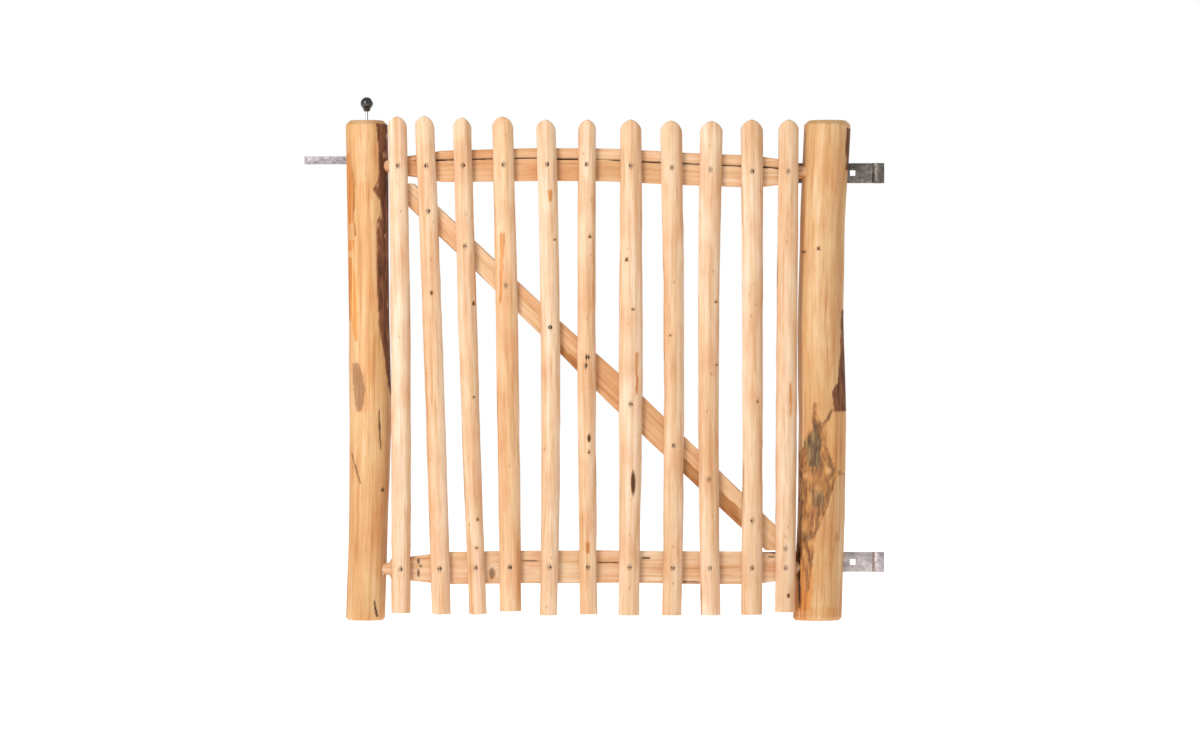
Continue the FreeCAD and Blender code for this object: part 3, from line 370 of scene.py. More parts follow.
def drill_tool(x, y, z, radius, reach=0.06, axis="Y"):
    """A round bar that cuts a hole from y rearward, or from z upward."""
    mesh = bpy.data.meshes.new("tool")
    made = bmesh.new()
    round_bar = {"radius1": radius, "radius2": radius, "depth": reach}
    bmesh.ops.create_cone(made, cap_ends=True, segments=TOOL_SIDES, **round_bar)
    if axis == "Y":
        bmesh.ops.rotate(made, verts=made.verts, matrix=Matrix.Rotation(-math.pi / 2, 3, "X"))
        bmesh.ops.translate(made, verts=made.verts, vec=(x, y + reach / 2, z))
    else:
        bmesh.ops.translate(made, verts=made.verts, vec=(x, y, z + reach / 2))
    made.to_mesh(mesh)
    made.free()
    return bpy.data.objects.new("tool", mesh)


SAME_PLACE = 0.0001 * MM


def carve(ob, felt, tools, operation="DIFFERENCE"):
    """Cuts a piece with tools, then gives the new corners the marks of the nearest old ones."""
    old = ob.data
    tree = KDTree(len(old.vertices))
    for vertex in old.vertices:
        tree.insert(vertex.co, vertex.index)
    tree.balance()
    for tool in tools:
        bpy.context.scene.collection.objects.link(tool)
        change = ob.modifiers.new("cut", "BOOLEAN")
        change.object = tool
        change.operation = operation
        change.solver = "EXACT"
    bpy.context.view_layer.update()
    cut = bpy.data.meshes.new_from_object(ob.evaluated_get(bpy.context.evaluated_depsgraph_get()))
    ob.modifiers.clear()
    found = [tree.find(vertex.co) for vertex in cut.vertices]
    index = np.array([row[1] for row in found])
    away = np.array([row[2] for row in found])
    offset = np.array([vertex.co - row[0] for vertex, row in zip(cut.vertices, found)]) / MM
    for key in MARKS + ("warm", "end", "grain"):
        vector = key == "grain"
        values = np.zeros(len(old.vertices) * (3 if vector else 1), np.float32)
        old.attributes[key].data.foreach_get("vector" if vector else "value", values)
        values = values.reshape(-1, 3)[index] if vector else values[index]
        if vector:
            values = values + offset @ np.stack([felt["side"], felt["rear"], felt["axis"]], 1)
        if key == "end" and operation == "INTERSECT":
            values = np.where(away > SAME_PLACE, 1.0, values)
        store(cut, key, values, vector)
    ob.data = cut
    cut.shade_smooth()
    cut.set_sharp_from_angle(angle=math.radians(50))
    for tool in tools:
        bpy.data.objects.remove(tool)


def soft(value, edge=1.0):
    """0 where value is under -edge, 1 over edge, smooth between."""
    share = np.clip((value / edge + 1) / 2, 0, 1)
    return share * share * (3 - 2 * share)


def flat_lumps(x, z, size, seed):
    """Lumps over the front, sizes in mm across and up."""
    return lumps(np.stack([x, 0 * z, z], -1), (size[0], 10, size[1]), seed)


def strip(x, z, rows, ragged=1.5, seed=3):
    """A ragged strip on the front; rows are (height, left, right) in mm."""
    rows = np.array(sorted(rows))
    x = x + ragged * (flat_lumps(x, z, (9, 16), seed) + 0.6 * flat_lumps(x, z, (4, 5), seed + 1))
    left = np.interp(z, rows[:, 0], rows[:, 1])
    right = np.interp(z, rows[:, 0], rows[:, 2])
    ends = np.minimum(z - rows[0, 0], rows[-1, 0] - z) + ragged * flat_lumps(x, z, (3, 9), seed + 2)
    return soft(np.minimum(np.minimum(x - left, right - x), ends), 0.9)


def spot(x, z, place, edge=0.35):
    """An oval mark; place is (x, height, half width, half height) in mm."""
    return soft(1 - np.hypot((x - place[0]) / place[2], (z - place[1]) / place[3]), edge)


def thin_line(x, z, path, width, seed=5):
    """A thin wandering line along path, a list of (x, height), tapered at both its ends."""
    nearest = np.full(np.shape(x), 1e9)
    share_at = np.zeros(np.shape(x))
    count = len(path) - 1
    for index in range(count):
        (xa, za), (xb, zb) = path[index], path[index + 1]
        dx, dz = xb - xa, zb - za
        share = np.clip(((x - xa) * dx + (z - za) * dz) / (dx * dx + dz * dz), 0, 1)
        far = np.hypot(x - xa - share * dx, z - za - share * dz)
        share_at = np.where(far < nearest, (index + share) / count, share_at)
        nearest = np.minimum(nearest, far)
    thin = np.sqrt(np.clip(8 * share_at * (1 - share_at), 0, 1))
    wander = 0.7 * flat_lumps(x, z, (14, 14), seed)
    return soft(width * thin - np.abs(nearest + wander * (nearest > 0.01)), 0.6)


SIDE_FADE = 0.004


def front(points, centre_y):
    """1 on the side that faces the viewer, 0 behind."""
    return soft(centre_y - points[..., 1], SIDE_FADE)


def peeled_depth(seed, wave=1.0, ridge=0.8):
    """Low flats with ridges between, left by the peeling iron; wounds lie deep, bark stands up."""

    def depth(grid, found):
        wide = 0.5 + 0.5 * lumps(grid, (0.03, 0.03, 0.15), seed)
        narrow = np.abs(lumps(grid, (0.012, 0.012, 0.12), seed + 1))
        fine = 0.5 + 0.5 * lumps(grid, (0.0035, 0.0035, 0.05), seed + 2)
        torn = np.abs(lumps(grid, (0.009, 0.009, 0.02), seed + 3))
        total = wave * wide + ridge * narrow + 0.2 * fine - 0.7 * found.get("bark", 0)
        total = total + found.get("wound", 0) * (1.2 + 4 * torn) + 1.4 * found.get("check_and_shade", 0)
        total = total - 0.9 * found.get("knot", 0)
        return total * MM

    return depth


# the posts' surface: honey wood, warm and a little uneven, with a dull sheen
peeled = chestnut("peeled_chestnut", ("#C0905E", "#CBA06E", "#D4AF82", "#DDC09A"))
POST_SPOKES = 104
POST_STEP = 0.0042
POST_Y = (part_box("latch_post")[0].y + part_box("latch_post")[1].y) / 2


def latch_marks(x, z, points, grid):
    """Bark down the right side, bast on the left, a brown patch, and small streaks."""
    ahead = front(points, POST_Y)
    rows = [(877, -1006), (825, -1000), (763, -1001), (745, -1013), (725, -999), (703, -995)]
    rows += [(685, -1003), (565, -1004), (465, -998), (445, -995), (365, -983), (337, -976)]
    bark = strip(x, z, [(height, left, -900) for height, left in rows])
    gaps = soft(lumps(grid, (0.006, 0.006, 0.02), 8) - 0.72, 0.1)
    rows = [(819, -1062), (755, -1050), (720, -1048), (695, -1053), (655, -1046), (625, -1052)]
    bast = strip(x, z, [(height, -1100, right) for height, right in rows], 1.2, 11)
    low_bast = strip(x, z, [(610, -1100, -1056), (560, -1100, -1044), (485, -1100, -1042)], 1.2, 13)
    low_bast = np.maximum(low_bast, strip(x, z, [(485, -1056, -1042), (440, -1048, -1044)], 1.2, 13))
    rows = [(819, -1062, -1059), (755, -1052, -1048), (695, -1054, -1050), (655, -1049, -1045)]
    edges = strip(x, z, rows, 1.2, 11)
    torn = strip(x, z, [(677, -1070, -1050), (645, -1070, -1049)], 2.0, 31)
    brown = strip(x, z, [(398, -1054, -1038), (347, -1052, -1026), (303, -1044, -1034)], 2.5, 21)
    tan = strip(x, z, [(760, -1046, -1010), (600, -1048, -1010), (300, -1040, -1006)], 4.0, 23)
    lines = [thin_line(x, z, [(-999, 307), (-995, 227)], 1.6), thin_line(x, z, [(-1056, 219), (-1036, 155)], 1.1)]
    lines.append(thin_line(x, z, [(-1008, -75), (-1002, -109)], 1.8))
    behind = (1 - ahead) * soft(lumps(grid, (0.02, 0.02, 0.18), 91) - 0.35, 0.1)
    return {
        "bark": np.maximum(ahead * np.maximum(bark * (1 - gaps), 0.6 * brown), behind),
        "bast": ahead * np.maximum.reduce([bast, low_bast, 0.3 * tan]) * (1 - torn),
        "knot": ahead * spot(x, z, (-992, 145, 4, 4)),
        "check_and_shade": ahead * np.maximum.reduce(lines),
        "wound": ahead * 0.6 * edges,
    }


def hinge_marks(x, z, points, grid):
    """Bark along the right edge, the long wound with its healed rim, and a line of painted shadow beside
    pale 11.
    """
    ahead = front(points, POST_Y)
    rows = [(507, -74, 0), (420, -78, 0), (360, -84, 0), (341, -96, 0), (301, -90, 0)]
    bark = strip(x, z, [(869, -66, 0), (783, -66, 0)], seed=41)
    bark = np.maximum(bark, strip(x, z, rows, seed=43))
    rows = [(318, -132, -128), (270, -142, -116), (245, -148, -106), (205, -166, -92)]
    rows += [(177, -170, -82), (110, -170, -104), (51, -170, -130), (-20, -152, -138), (-59, -147, -143)]
    wound = strip(x, z, rows, 2.5, 47)
    mould = strip(x, z, [(262, -140, -124), (235, -150, -118), (191, -146, -120)], 4, 51)
    mould = np.maximum(mould, 0.7 * strip(x, z, [(146, -140, -112), (112, -138, -112)], 3, 53))
    mould = np.maximum(mould, 0.5 * strip(x, z, [(63, -156, -136), (45, -156, -134)], 3, 55))
    bright = np.maximum(spot(x, z, (-149, 174, 6, 6)), spot(x, z, (-103, 186, 8, 9)))
    bast = strip(x, z, [(60, -175, -132), (-30, -175, -136), (-95, -175, -138)], 3, 57)
    foot = strip(x, z, [(-89, -170, -60), (-107, -170, -60)], 3, 59) * 0.4
    healed = strip(x, z, [(301, -96, -66), (250, -108, -62), (183, -92, -64)], 2, 61)
    path = [(-92, 308), (-108, 280), (-111, 235), (-104, 200), (-84, 180), (-62, 176)]
    rim = thin_line(x, z, path, 4.0, 62)
    knots = [spot(x, z, (-122, 627, 4, 4)), spot(x, z, (-151, 621, 5, 4))]
    knots.append(0.5 * spot(x, z, (-85, 51, 5, 12)))
    behind = (1 - ahead) * soft(lumps(grid, (0.02, 0.02, 0.18), 97) - 0.4, 0.1)
    return {
        "bark": np.maximum(ahead * bark, behind),
        "bast": ahead * np.maximum.reduce([bast, foot, 0.45 * healed * (1 - rim), 0.5 * wound]),
        "wound": ahead * np.maximum(0.92 * wound * (1 - bright) * (1 - healed), 0.85 * rim),
        "mould": 0.85 * ahead * mould * (1 - bright),
        "knot": ahead * np.maximum.reduce(knots),
        # painted shadow: a dark line down the post along pale 11's right edge, where the pale shades the
        # post, drawn and sunk like a check
        "check_and_shade": ahead * thin_line(x, z, [(-162, 33), (-160, -95)], 2.2),
    }


MORTISE_BELOW, MORTISE_ABOVE = 0.008, 0.016  # round a rail's own height, left out of the feeling


def post(name, marks, seed, tools):
    """One post, with the slots and holes that tools cut in it."""
    low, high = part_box(name)
    middle_x, middle_y = (low.x + high.x) / 2, (low.y + high.y) / 2
    skip = []
    for rail in ("bottom_rail", "top_rail"):
        rail_low, rail_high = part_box(rail)
        skip.append((rail_low.z - low.z - MORTISE_BELOW, rail_high.z - low.z + MORTISE_ABOVE))
    felt = feel(name, (middle_x, middle_y, low.z), (middle_x, middle_y, high.z), POST_SPOKES, skip)
    ob = wooden(name + "_wood", felt, POST_STEP, peeled_depth(seed), marks, peeled, 0.15, seed)
    carve(ob, felt, tools)
    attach(ob, "leaf")
    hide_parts(name)


# The latch post is slotted for the bar and the clevis, bored for the rod, and counterbored
# behind for the two screws that lock the tenons.
bar_low, bar_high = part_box("latch_bar")
clevis_low, clevis_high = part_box("rod_clevis")
rod_low, rod_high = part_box("pull_rod")
rod_x, rod_y = (rod_low.x + rod_high.x) / 2, (rod_low.y + rod_high.y) / 2
SLOT_PLAY, SLOT_FLOOR_PLAY, SLOT_END_PLAY = 0.00075, 0.0003, 0.001
SLOT_RISE = 0.040
ROD_PLAY, ROD_BORE_REACH = 0.0006, 0.15
SEAT_DEPTH, SEAT_PLAY = 0.004, 0.0012
OUTSIDE_X = -1.2
slot_tool = box_tool(
    (OUTSIDE_X, clevis_low.y - SLOT_PLAY, bar_low.z - SLOT_FLOOR_PLAY),
    (bar_high.x + SLOT_END_PLAY, clevis_high.y + SLOT_PLAY, bar_low.z + SLOT_RISE),
)
rod_radius = (rod_high.x - rod_low.x) / 2
rod_tool = drill_tool(rod_x, rod_y, clevis_low.z, rod_radius + ROD_PLAY, ROD_BORE_REACH, "Z")
latch_tools = [slot_tool, rod_tool]
lock_low, lock_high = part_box("tenon_lock_screws")
lock_x, lock_radius = (lock_low.x + lock_high.x) / 2, (lock_high.x - lock_low.x) / 2
for height in (lock_low.z + lock_radius, lock_high.z - lock_radius):
    latch_tools.append(drill_tool(lock_x, lock_high.y - SEAT_DEPTH, height, lock_radius + SEAT_PLAY))
post("latch_post", latch_marks, 2, latch_tools)

# The hinge post has a slot right through for each strap, and a seat for each washer behind.
STRAP_SLOT_START, STRAP_SLOT_HALF, STRAP_PLAY = -0.2, 0.0028, 0.0003
WASHER_PLAY = 0.0015
hinge_tools = []
for strap in ("upper_hinge_strap", "lower_hinge_strap"):
    low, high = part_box(strap)
    start = (STRAP_SLOT_START, -STRAP_SLOT_HALF, low.z - STRAP_PLAY)
    hinge_tools.append(box_tool(start, (0.0, STRAP_SLOT_HALF, high.z + STRAP_PLAY)))
washer_low, washer_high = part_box("coach_washers")
washer_x, washer_radius = (washer_low.x + washer_high.x) / 2, (washer_high.x - washer_low.x) / 2
for height in (washer_low.z + washer_radius, washer_high.z - washer_radius):
    hinge_tools.append(drill_tool(washer_x, washer_low.y, height, washer_radius + WASHER_PLAY))
post("hinge_post", hinge_marks, 5, hinge_tools)

# ---------------------------------------------------------------------------------------------
# Rails and brace: half-round chestnut, cleft down the heart. The flat cleft faces carry the
# pales and have dried with long checks; a brown skin of bast stays on the round backs' edges.
# their surface: a torn, pinkish cream flat that is duller and paler than the posts
peeled_rail = chestnut("cleft_chestnut_rail", ("#CB9F74", "#D6B18A", "#DDBF9E", "#E4CEB4"))
RAIL_SPOKES = 120
RAIL_STEP = 0.0042


def cleft_depth(seed):
    """A flat torn along its fibres in front, a peeled round behind."""

    def depth(grid, found):
        wide = 0.5 + 0.5 * lumps(grid, (0.03, 0.03, 0.12), seed)
        torn = np.abs(lumps(grid, (0.006, 0.02, 0.16), seed + 1))
        fine = 0.5 + 0.5 * lumps(grid, (0.0025, 0.0025, 0.04), seed + 2)
        total = 0.9 * wide + 0.8 * torn + 0.25 * fine + 3.0 * found.get("check_and_shade", 0)
        return (total - 0.7 * found.get("knot", 0)) * MM

    return depth


# drying checks, and one line of painted shadow, as (width, path of (x, height)) and knots as (x, height,
# half sizes), in mm
RAIL_CHECKS_AND_SHADOW = {
    "top_rail": [
        (1.7, [(-938, 803), (-872, 806), (-794, 808), (-704, 810), (-624, 808), (-544, 807)]),
        (1.6, [(-560, 807), (-456, 802), (-378, 799), (-294, 795), (-218, 791), (-150, 783)]),
    ],
    "bottom_rail": [
        (1.2, [(-924, 18), (-918, -6), (-922, -32)]),
        (1.3, [(-710, 5), (-682, 5)]),
        (1.2, [(-564, 1), (-520, 1)]),
        (1.1, [(-478, 11), (-456, 11)]),
        (1.3, [(-394, -39), (-358, -38)]),
        # painted shadow: a short dark line under the brace's lower end, drawn and sunk like a check
        (1.0, [(-222, 13), (-206, 13)]),
    ],
}
RAIL_KNOTS = {"top_rail": [], "bottom_rail": [(-774, -22, 7, 13)]}
FLAT_EDGE = 0.002  # behind the cleft face, where its marks fade out
TENON_ZONE = 0.075


def rail(name, warm, seed):
    """One rail with its drying checks, and on the bottom rail a line of painted shadow."""
    low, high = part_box(name)
    middle = (low.y + high.y) / 2
    height = (low.z + high.z) / 2

    def marks(x, z, points, grid):
        ahead = soft(low.y + FLAT_EDGE - points[..., 1], FLAT_EDGE)
        lines = [thin_line(x, z, path, width, seed) for width, path in RAIL_CHECKS_AND_SHADOW[name]]
        knots = [spot(x, z, knot) for knot in RAIL_KNOTS[name]] + [0 * x]
        skin = soft(lumps(grid, (0.02, 0.02, 0.11), seed + 9) - 0.45, 0.12) * (1 - ahead)
        return {
            "check_and_shade": ahead * np.maximum.reduce(lines),
            "knot": ahead * np.maximum.reduce(knots) * 0.8,
            "bast": skin * 0.85,
            "bark": skin * soft(lumps(grid, (0.012, 0.012, 0.05), seed + 12) - 0.4, 0.1),
        }

    start, end = (low.x, middle, height), (high.x, middle, height)
    felt = feel(name, start, end, RAIL_SPOKES, end_zone=TENON_ZONE)
    ob = wooden(name + "_wood", felt, RAIL_STEP, cleft_depth(seed), marks, peeled_rail, warm, seed)
    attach(ob, "leaf")
    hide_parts(name)


rail("top_rail", 0.45, 21)
rail("bottom_rail", 0.1, 27)

brace_low, brace_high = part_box("brace")
BRACE_WANE = (-622, -377, -298)  # where along it the bast stays, and its half length, in mm
WANE_HALF = 19
BARE_HALF = 14  # from the brace's middle line down to where the bast starts


def brace_marks(x, z, points, grid):
    """Brown bast along the brace's lower edge in three places."""
    ahead = soft(brace_low.y + FLAT_EDGE - points[..., 1], FLAT_EDGE)
    slope = (brace_low.z - brace_high.z) / (brace_high.x - brace_low.x)
    beside = x - (brace_low.x + brace_high.x) / 2 / MM
    middle = (brace_high.z + brace_low.z) / 2 / MM + slope * beside
    under = soft(middle - BARE_HALF - z + 3 * flat_lumps(x, z, (12, 12), 71), 3)
    near = [soft(1 - np.abs(x - place) / WANE_HALF, 0.4) for place in BRACE_WANE]
    skin = soft(lumps(grid, (0.02, 0.02, 0.11), 75) - 0.3, 0.12) * (1 - ahead)
    edge = np.maximum.reduce(near) * under
    return {"bast": np.maximum(edge, skin * 0.8), "bark": 0.5 * edge * under + 0.4 * skin}


# the brace is drawn too long at both ends, then cut upright and level where it meets the rails
BRACE_OVERRUN = 0.05
BRACE_FELT = 0.89  # share of its length that is whole all round
BRACE_SPOKES = 96
brace_line = Vector((brace_high.x - brace_low.x, 0, brace_low.z - brace_high.z))
brace_centre = (brace_low + brace_high) / 2
half_line = brace_line / 2 * BRACE_FELT
felt = feel("brace", brace_centre - half_line, brace_centre + half_line, BRACE_SPOKES)
over = half_line.normalized() * BRACE_OVERRUN
long = felt["length"] + 2 * BRACE_OVERRUN
felt["along"] = np.concatenate([[0.0], felt["along"] + BRACE_OVERRUN, [long]])
felt["radii"] = felt["radii"][[0] + list(range(len(felt["radii"]))) + [-1]]
first, last = felt["centres"][0] - np.array(over), felt["centres"][-1] + np.array(over)
felt["centres"] = np.concatenate([[first], felt["centres"], [last]])
felt["length"] = long
brace = wooden("brace_wood", felt, RAIL_STEP, cleft_depth(33), brace_marks, peeled_rail, 0.5, 33)
spare = Vector((0, 0.01, 0))
room = box_tool(brace_low - spare, brace_high + spare)
carve(brace, felt, [room], "INTERSECT")
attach(brace, "leaf")
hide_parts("brace")

# ---------------------------------------------------------------------------------------------
# Pales: eleven cleft chestnut pales, shaved on the front with a draw-knife, which leaves long
# flats with crisp edges, and pointed at the head. Each has its own bend, tone and knots.
# their surface: pinkish cream shaved wood, the palest of the gate
cleft = chestnut("shaved_chestnut_pale", ("#D0A980", "#DABA97", "#E1C7AB", "#E8D3BB"))
PALE_SPOKES = 44
PALE_STEP = 0.0046
# how tan each pale is, from 0 for cream to 1
PALE_WARM = (0.0, 0.3, 0.15, 0.6, 0.1, 0.35, 0.2, 0.15, 0.25, 0.2, 0.3)
# knots as (x, height, half width, half height), in mm
PALE_KNOTS = {
    2: [(-894, 539, 4, 4)],
    3: [(-810, 517, 4, 5), (-810, 331, 3, 3), (-802, 87, 3, 4), (-804, 29, 4, 3)],
    5: [(-648, 645, 3, 3)],
    6: [(-578, 651, 4, 4), (-580, 249, 4, 9), (-580, 221, 3, 4)],
    7: [(-505, 605, 4, 4), (-492, 505, 4, 3), (-492, 160, 5, 26)],
    8: [(-418, 455, 3, 3)],
    9: [(-326, 521, 4, 4), (-324, 395, 4, 4)],
    10: [(-244, 323, 3, 3)],
    11: [(-182, -65, 4, 4)],
}
# streaks of bast as (height, left, right) at their top and foot
PALE_STREAKS = {
    4: [(660, -758, -748), (520, -760, -754)],
    5: [(745, -664, -652), (722, -660, -654)],
    6: [(40, -588, -578), (20, -586, -578)],
    7: [(419, -487, -481), (339, -486, -482)],
    11: [(359, -180, -175), (293, -179, -175)],
}


def shaved_depth(seed):
    """Long draw-knife flats with crisp edges, and small dents."""

    def depth(grid, found):
        wide = 0.5 + 0.5 * lumps(grid, (0.02, 0.02, 0.09), seed)
        flats = np.abs(lumps(grid, (0.0085, 0.0085, 0.075), seed + 1))
        fine = 0.5 + 0.5 * lumps(grid, (0.003, 0.003, 0.03), seed + 2)
        total = 0.9 * wide + 1.3 * flats + 0.2 * fine
        return (total - 1.2 * found.get("knot", 0) + 0.9 * found.get("dish", 0)) * MM

    return depth


# where the screws stand: (node, x, y of the head's face, height)
screw_places = []
for node in ("top_rail_screws", "bottom_rail_screws", "brace_screws"):
    made = bmesh.new()
    made.from_mesh(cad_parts[node].data)
    bmesh.ops.remove_doubles(made, verts=made.verts, dist=1e-6)
    left = set(made.verts)
    while left:
        reached = {left.pop()}
        grow = list(reached)
        while grow:
            for edge in grow.pop().link_edges:
                for vertex in edge.verts:
                    if vertex in left:
                        left.discard(vertex)
                        reached.add(vertex)
                        grow.append(vertex)
        spots = np.array([vertex.co for vertex in reached])
        middle = (spots.min(axis=0) + spots.max(axis=0)) / 2
        screw_places.append((node, middle[0], spots[:, 1].min(), middle[2]))
    made.free()

FOOT_SLICE, HEAD_SLICE = 0.01, 0.004
PIN_KNOTS = 5
PIN_SPREAD, PIN_FOOT, PIN_HEAD = 9, -90, 860  # where pin knots may lie, in mm
DISH_RADIUS = 5.2
pale_trees = []
for number in range(1, 12):
    name = f"pale_{number:02d}"
    low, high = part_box(name)
    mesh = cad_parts[name].data
    spots = np.array([vertex.co for vertex in mesh.vertices])
    foot = spots[spots[:, 2] < low.z + FOOT_SLICE]
    head = spots[spots[:, 2] > high.z - HEAD_SLICE]
    foot_x = (foot[:, 0].min() + foot[:, 0].max()) / 2
    head_x = (head[:, 0].min() + head[:, 0].max()) / 2
    depth_y = (low.y + high.y) / 2
    knots = PALE_KNOTS.get(number, [])
    streaks = PALE_STREAKS.get(number)
    draws = np.random.RandomState(100 + number)
    middle = (low.x + high.x) / 2 / MM
    pins = []
    for _ in range(PIN_KNOTS):
        across = middle + draws.uniform(-PIN_SPREAD, PIN_SPREAD)
        pins.append((across, draws.uniform(PIN_FOOT, PIN_HEAD), 1.6, 2.2))

    def pale_marks(x, z, points, grid):
        """Knots, bast streaks, bark left on the back, and a dish round each screw, darkened with painted
        shade.
        """
        ahead = front(points, depth_y)
        found = [ahead * spot(x, z, knot) for knot in knots]
        found += [ahead * 0.7 * spot(x, z, pin) for pin in pins]
        bast = ahead * strip(x, z, streaks, 1.2, number) * 0.9 if streaks else 0 * x
        wane = (1 - ahead) * soft(lumps(grid, (0.012, 0.012, 0.14), number + 200) - 0.45, 0.1)
        dishes = []
        for _, screw_x, _, screw_z in screw_places:
            dishes.append(spot(x, z, (screw_x / MM, screw_z / MM, DISH_RADIUS, DISH_RADIUS)))
        return {
            "knot": np.maximum.reduce(found),
            "bast": np.maximum(bast, 0.7 * wane),
            "bark": 0.6 * wane * soft(lumps(grid, (0.006, 0.006, 0.03), number + 220) - 0.2, 0.1),
            "dish": ahead * np.maximum.reduce(dishes),
            # painted shade: the wood in and round each screw's dish darkened with the checks' near-black
            "check_and_shade": 0.55 * ahead * np.maximum.reduce(dishes),
        }

    felt = feel(name, (foot_x, depth_y, low.z), (head_x, depth_y, high.z), PALE_SPOKES)
    warm = PALE_WARM[number - 1]
    shaved = shaved_depth(40 + 3 * number)
    ob = wooden(name + "_wood", felt, PALE_STEP, shaved, pale_marks, cleft, warm, number)
    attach(ob, "leaf")
    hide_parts(name)
    polygons = [p.vertices for p in ob.data.polygons]
    pale_trees.append(BVHTree.FromPolygons([v.co for v in ob.data.vertices], polygons))

# ---------------------------------------------------------------------------------------------
# Wood screws: brown-passivated countersunk heads with a six-lobed socket, one through each pale
# into each rail and the brace, driven just under the wood so that each sits in a small dish.


def metal(name, tones, grain_mm, rough, specks=None, relief=0.25):
    """Plated or galvanised steel: crystals or grit of grain_mm, fine scratches, dull specks."""
    made = bpy.data.materials.new(name)
    made.use_nodes = True
    tree = made.node_tree
    tree.nodes.clear()
    place = add(tree, "ShaderNodeTexCoord", out="Object")
    crystal = add(tree, "ShaderNodeTexVoronoi", {"Vector": place, "Scale": 1000 / grain_mm}, out="Color")
    crystal = add(tree, "ShaderNodeSeparateColor", {"Color": crystal})
    cloud = add(
        tree,
        "ShaderNodeTexNoise",
        {"Vector": place, "Scale": 1000 / (grain_mm * 5), "Detail": 4, "Roughness": 0.6},
    )
    # rolling scratches run along the steel, 0.5 mm apart
    brushed = add(tree, "ShaderNodeVectorMath", {0: place, 1: (40, 900, 2000)}, operation="MULTIPLY")
    scratch = add(
        tree,
        "ShaderNodeTexNoise",
        {"Vector": brushed, "Scale": 1, "Detail": 3, "Roughness": 0.6},
    )
    tone = add(tree, "ShaderNodeMath", {0: crystal, 1: 0.3}, operation="MULTIPLY")
    tone = add(tree, "ShaderNodeMath", {0: cloud, 1: 0.5, 2: tone}, operation=GAIN)
    tone = add(tree, "ShaderNodeMath", {0: scratch, 1: 0.25, 2: tone}, operation=GAIN)
    colour = add(tree, "ShaderNodeValToRGB", {"Fac": tone}, stops=list(zip((0.35, 0.53, 0.7), tones)))
    grit = add(tree, "ShaderNodeTexNoise", {"Vector": place, "Scale": 700, "Detail": 4, "Roughness": 0.7})
    if specks:
        dull = add(tree, "ShaderNodeValToRGB", {"Fac": grit}, stops=((0.62, "#000000"), (0.7, "#FFFFFF")))
        specked = {0: dull, 6: colour, 7: linear(specks)}
        colour = add(tree, "ShaderNodeMix", specked, out=2, data_type="RGBA")
    rough_at = add(tree, "ShaderNodeMath", {0: cloud, 1: 0.3, 2: rough - 0.15}, operation=GAIN)
    rough_at = add(tree, "ShaderNodeMath", {0: scratch, 1: 0.12, 2: rough_at}, operation=GAIN)
    height = add(tree, "ShaderNodeMath", {0: crystal, 1: 0.2, 2: scratch}, operation=GAIN)
    height = add(tree, "ShaderNodeMath", {0: grit, 1: 0.6, 2: height}, operation=GAIN)
    bump = add(
        tree,
        "ShaderNodeBump",
        {"Height": height, "Strength": relief, "Distance": 0.0003},
        out="Normal",
    )
    shader = add(
        tree,
        "ShaderNodeBsdfPrincipled",
        {"Base Color": colour, "Metallic": 1.0, "Roughness": rough_at, "Normal": bump},
    )
    add(tree, "ShaderNodeOutputMaterial", {"Surface": shader})
    return made


# Passivated zinc: a warm dark film that hides the steel's shine.
passivated = metal("brown_passivated_steel", ("#1C140F", "#2A1F18", "#44352A"), 0.6, 0.55)
# a countersunk head and its shank as (radius, depth under the head's face), in mm
HEAD_PROFILE = ((3.5, -0.15), (3.9, 0.05), (3.9, 0.35), (1.9, 2.3), (1.5, 3.5), (1.5, 16.0), (0.2, 18.0))
SOCKET_RADIUS, SOCKET_LOBE, SOCKET_DEPTH = 1.55, 0.32, 1.6
HEAD_SINK = 0.15  # below the wood round it
AROUND = 36


def screw_head(made, x, y, z):
    """Adds one screw to the mesh being made, its face at y and its point to the rear."""
    angles = [2 * math.pi * i / AROUND for i in range(AROUND)]
    lobes = [SOCKET_RADIUS + SOCKET_LOBE * math.cos(6 * a) for a in angles]
    rings = [[(0.85 * r, SOCKET_DEPTH) for r in lobes], [(r, SOCKET_DEPTH * 0.9) for r in lobes]]
    rings += [[(r, 0.0) for r in lobes], [(1.12 * r, -0.12) for r in lobes]]
    rings += [[size] * AROUND for size in HEAD_PROFILE]
    rows = []
    for ring in rings:
        row = []
        for angle, (radius, depth) in zip(angles, ring):
            across, up = radius * math.cos(angle) * MM, radius * math.sin(angle) * MM
            row.append(made.verts.new((x + across, y + depth * MM, z + up)))
        rows.append(row)
    for low_row, high_row in zip(rows, rows[1:]):
        for i in range(AROUND):
            j = (i + 1) % AROUND
            made.faces.new((low_row[i], low_row[j], high_row[j], high_row[i]))
    made.faces.new(rows[0][::-1])
    made.faces.new(rows[-1])


AHEAD = 0.1  # start of the rays that find each pale's face, in front of the gate
for node in ("top_rail_screws", "bottom_rail_screws", "brace_screws"):
    made = bmesh.new()
    for name, x, y, z in screw_places:
        if name == node:
            rear = Vector((0, 1, 0))
            hits = [tree.ray_cast(Vector((x, -AHEAD, z)), rear, AHEAD)[0] for tree in pale_trees]
            hits = [hit.y for hit in hits if hit is not None]
            screw_head(made, x, (min(hits) if hits else y) + HEAD_SINK * MM, z)
    bmesh.ops.recalc_face_normals(made, faces=made.faces)
    mesh = bpy.data.meshes.new(node + "_steel")
    made.to_mesh(mesh)
    made.free()
    mesh.shade_smooth()
    mesh.set_sharp_from_angle(angle=math.radians(40))
    mesh.materials.append(passivated)
    ob = bpy.data.objects.new(node + "_steel", mesh)
    bpy.context.scene.collection.objects.link(ob)
    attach(ob, "leaf")
    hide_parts(node)
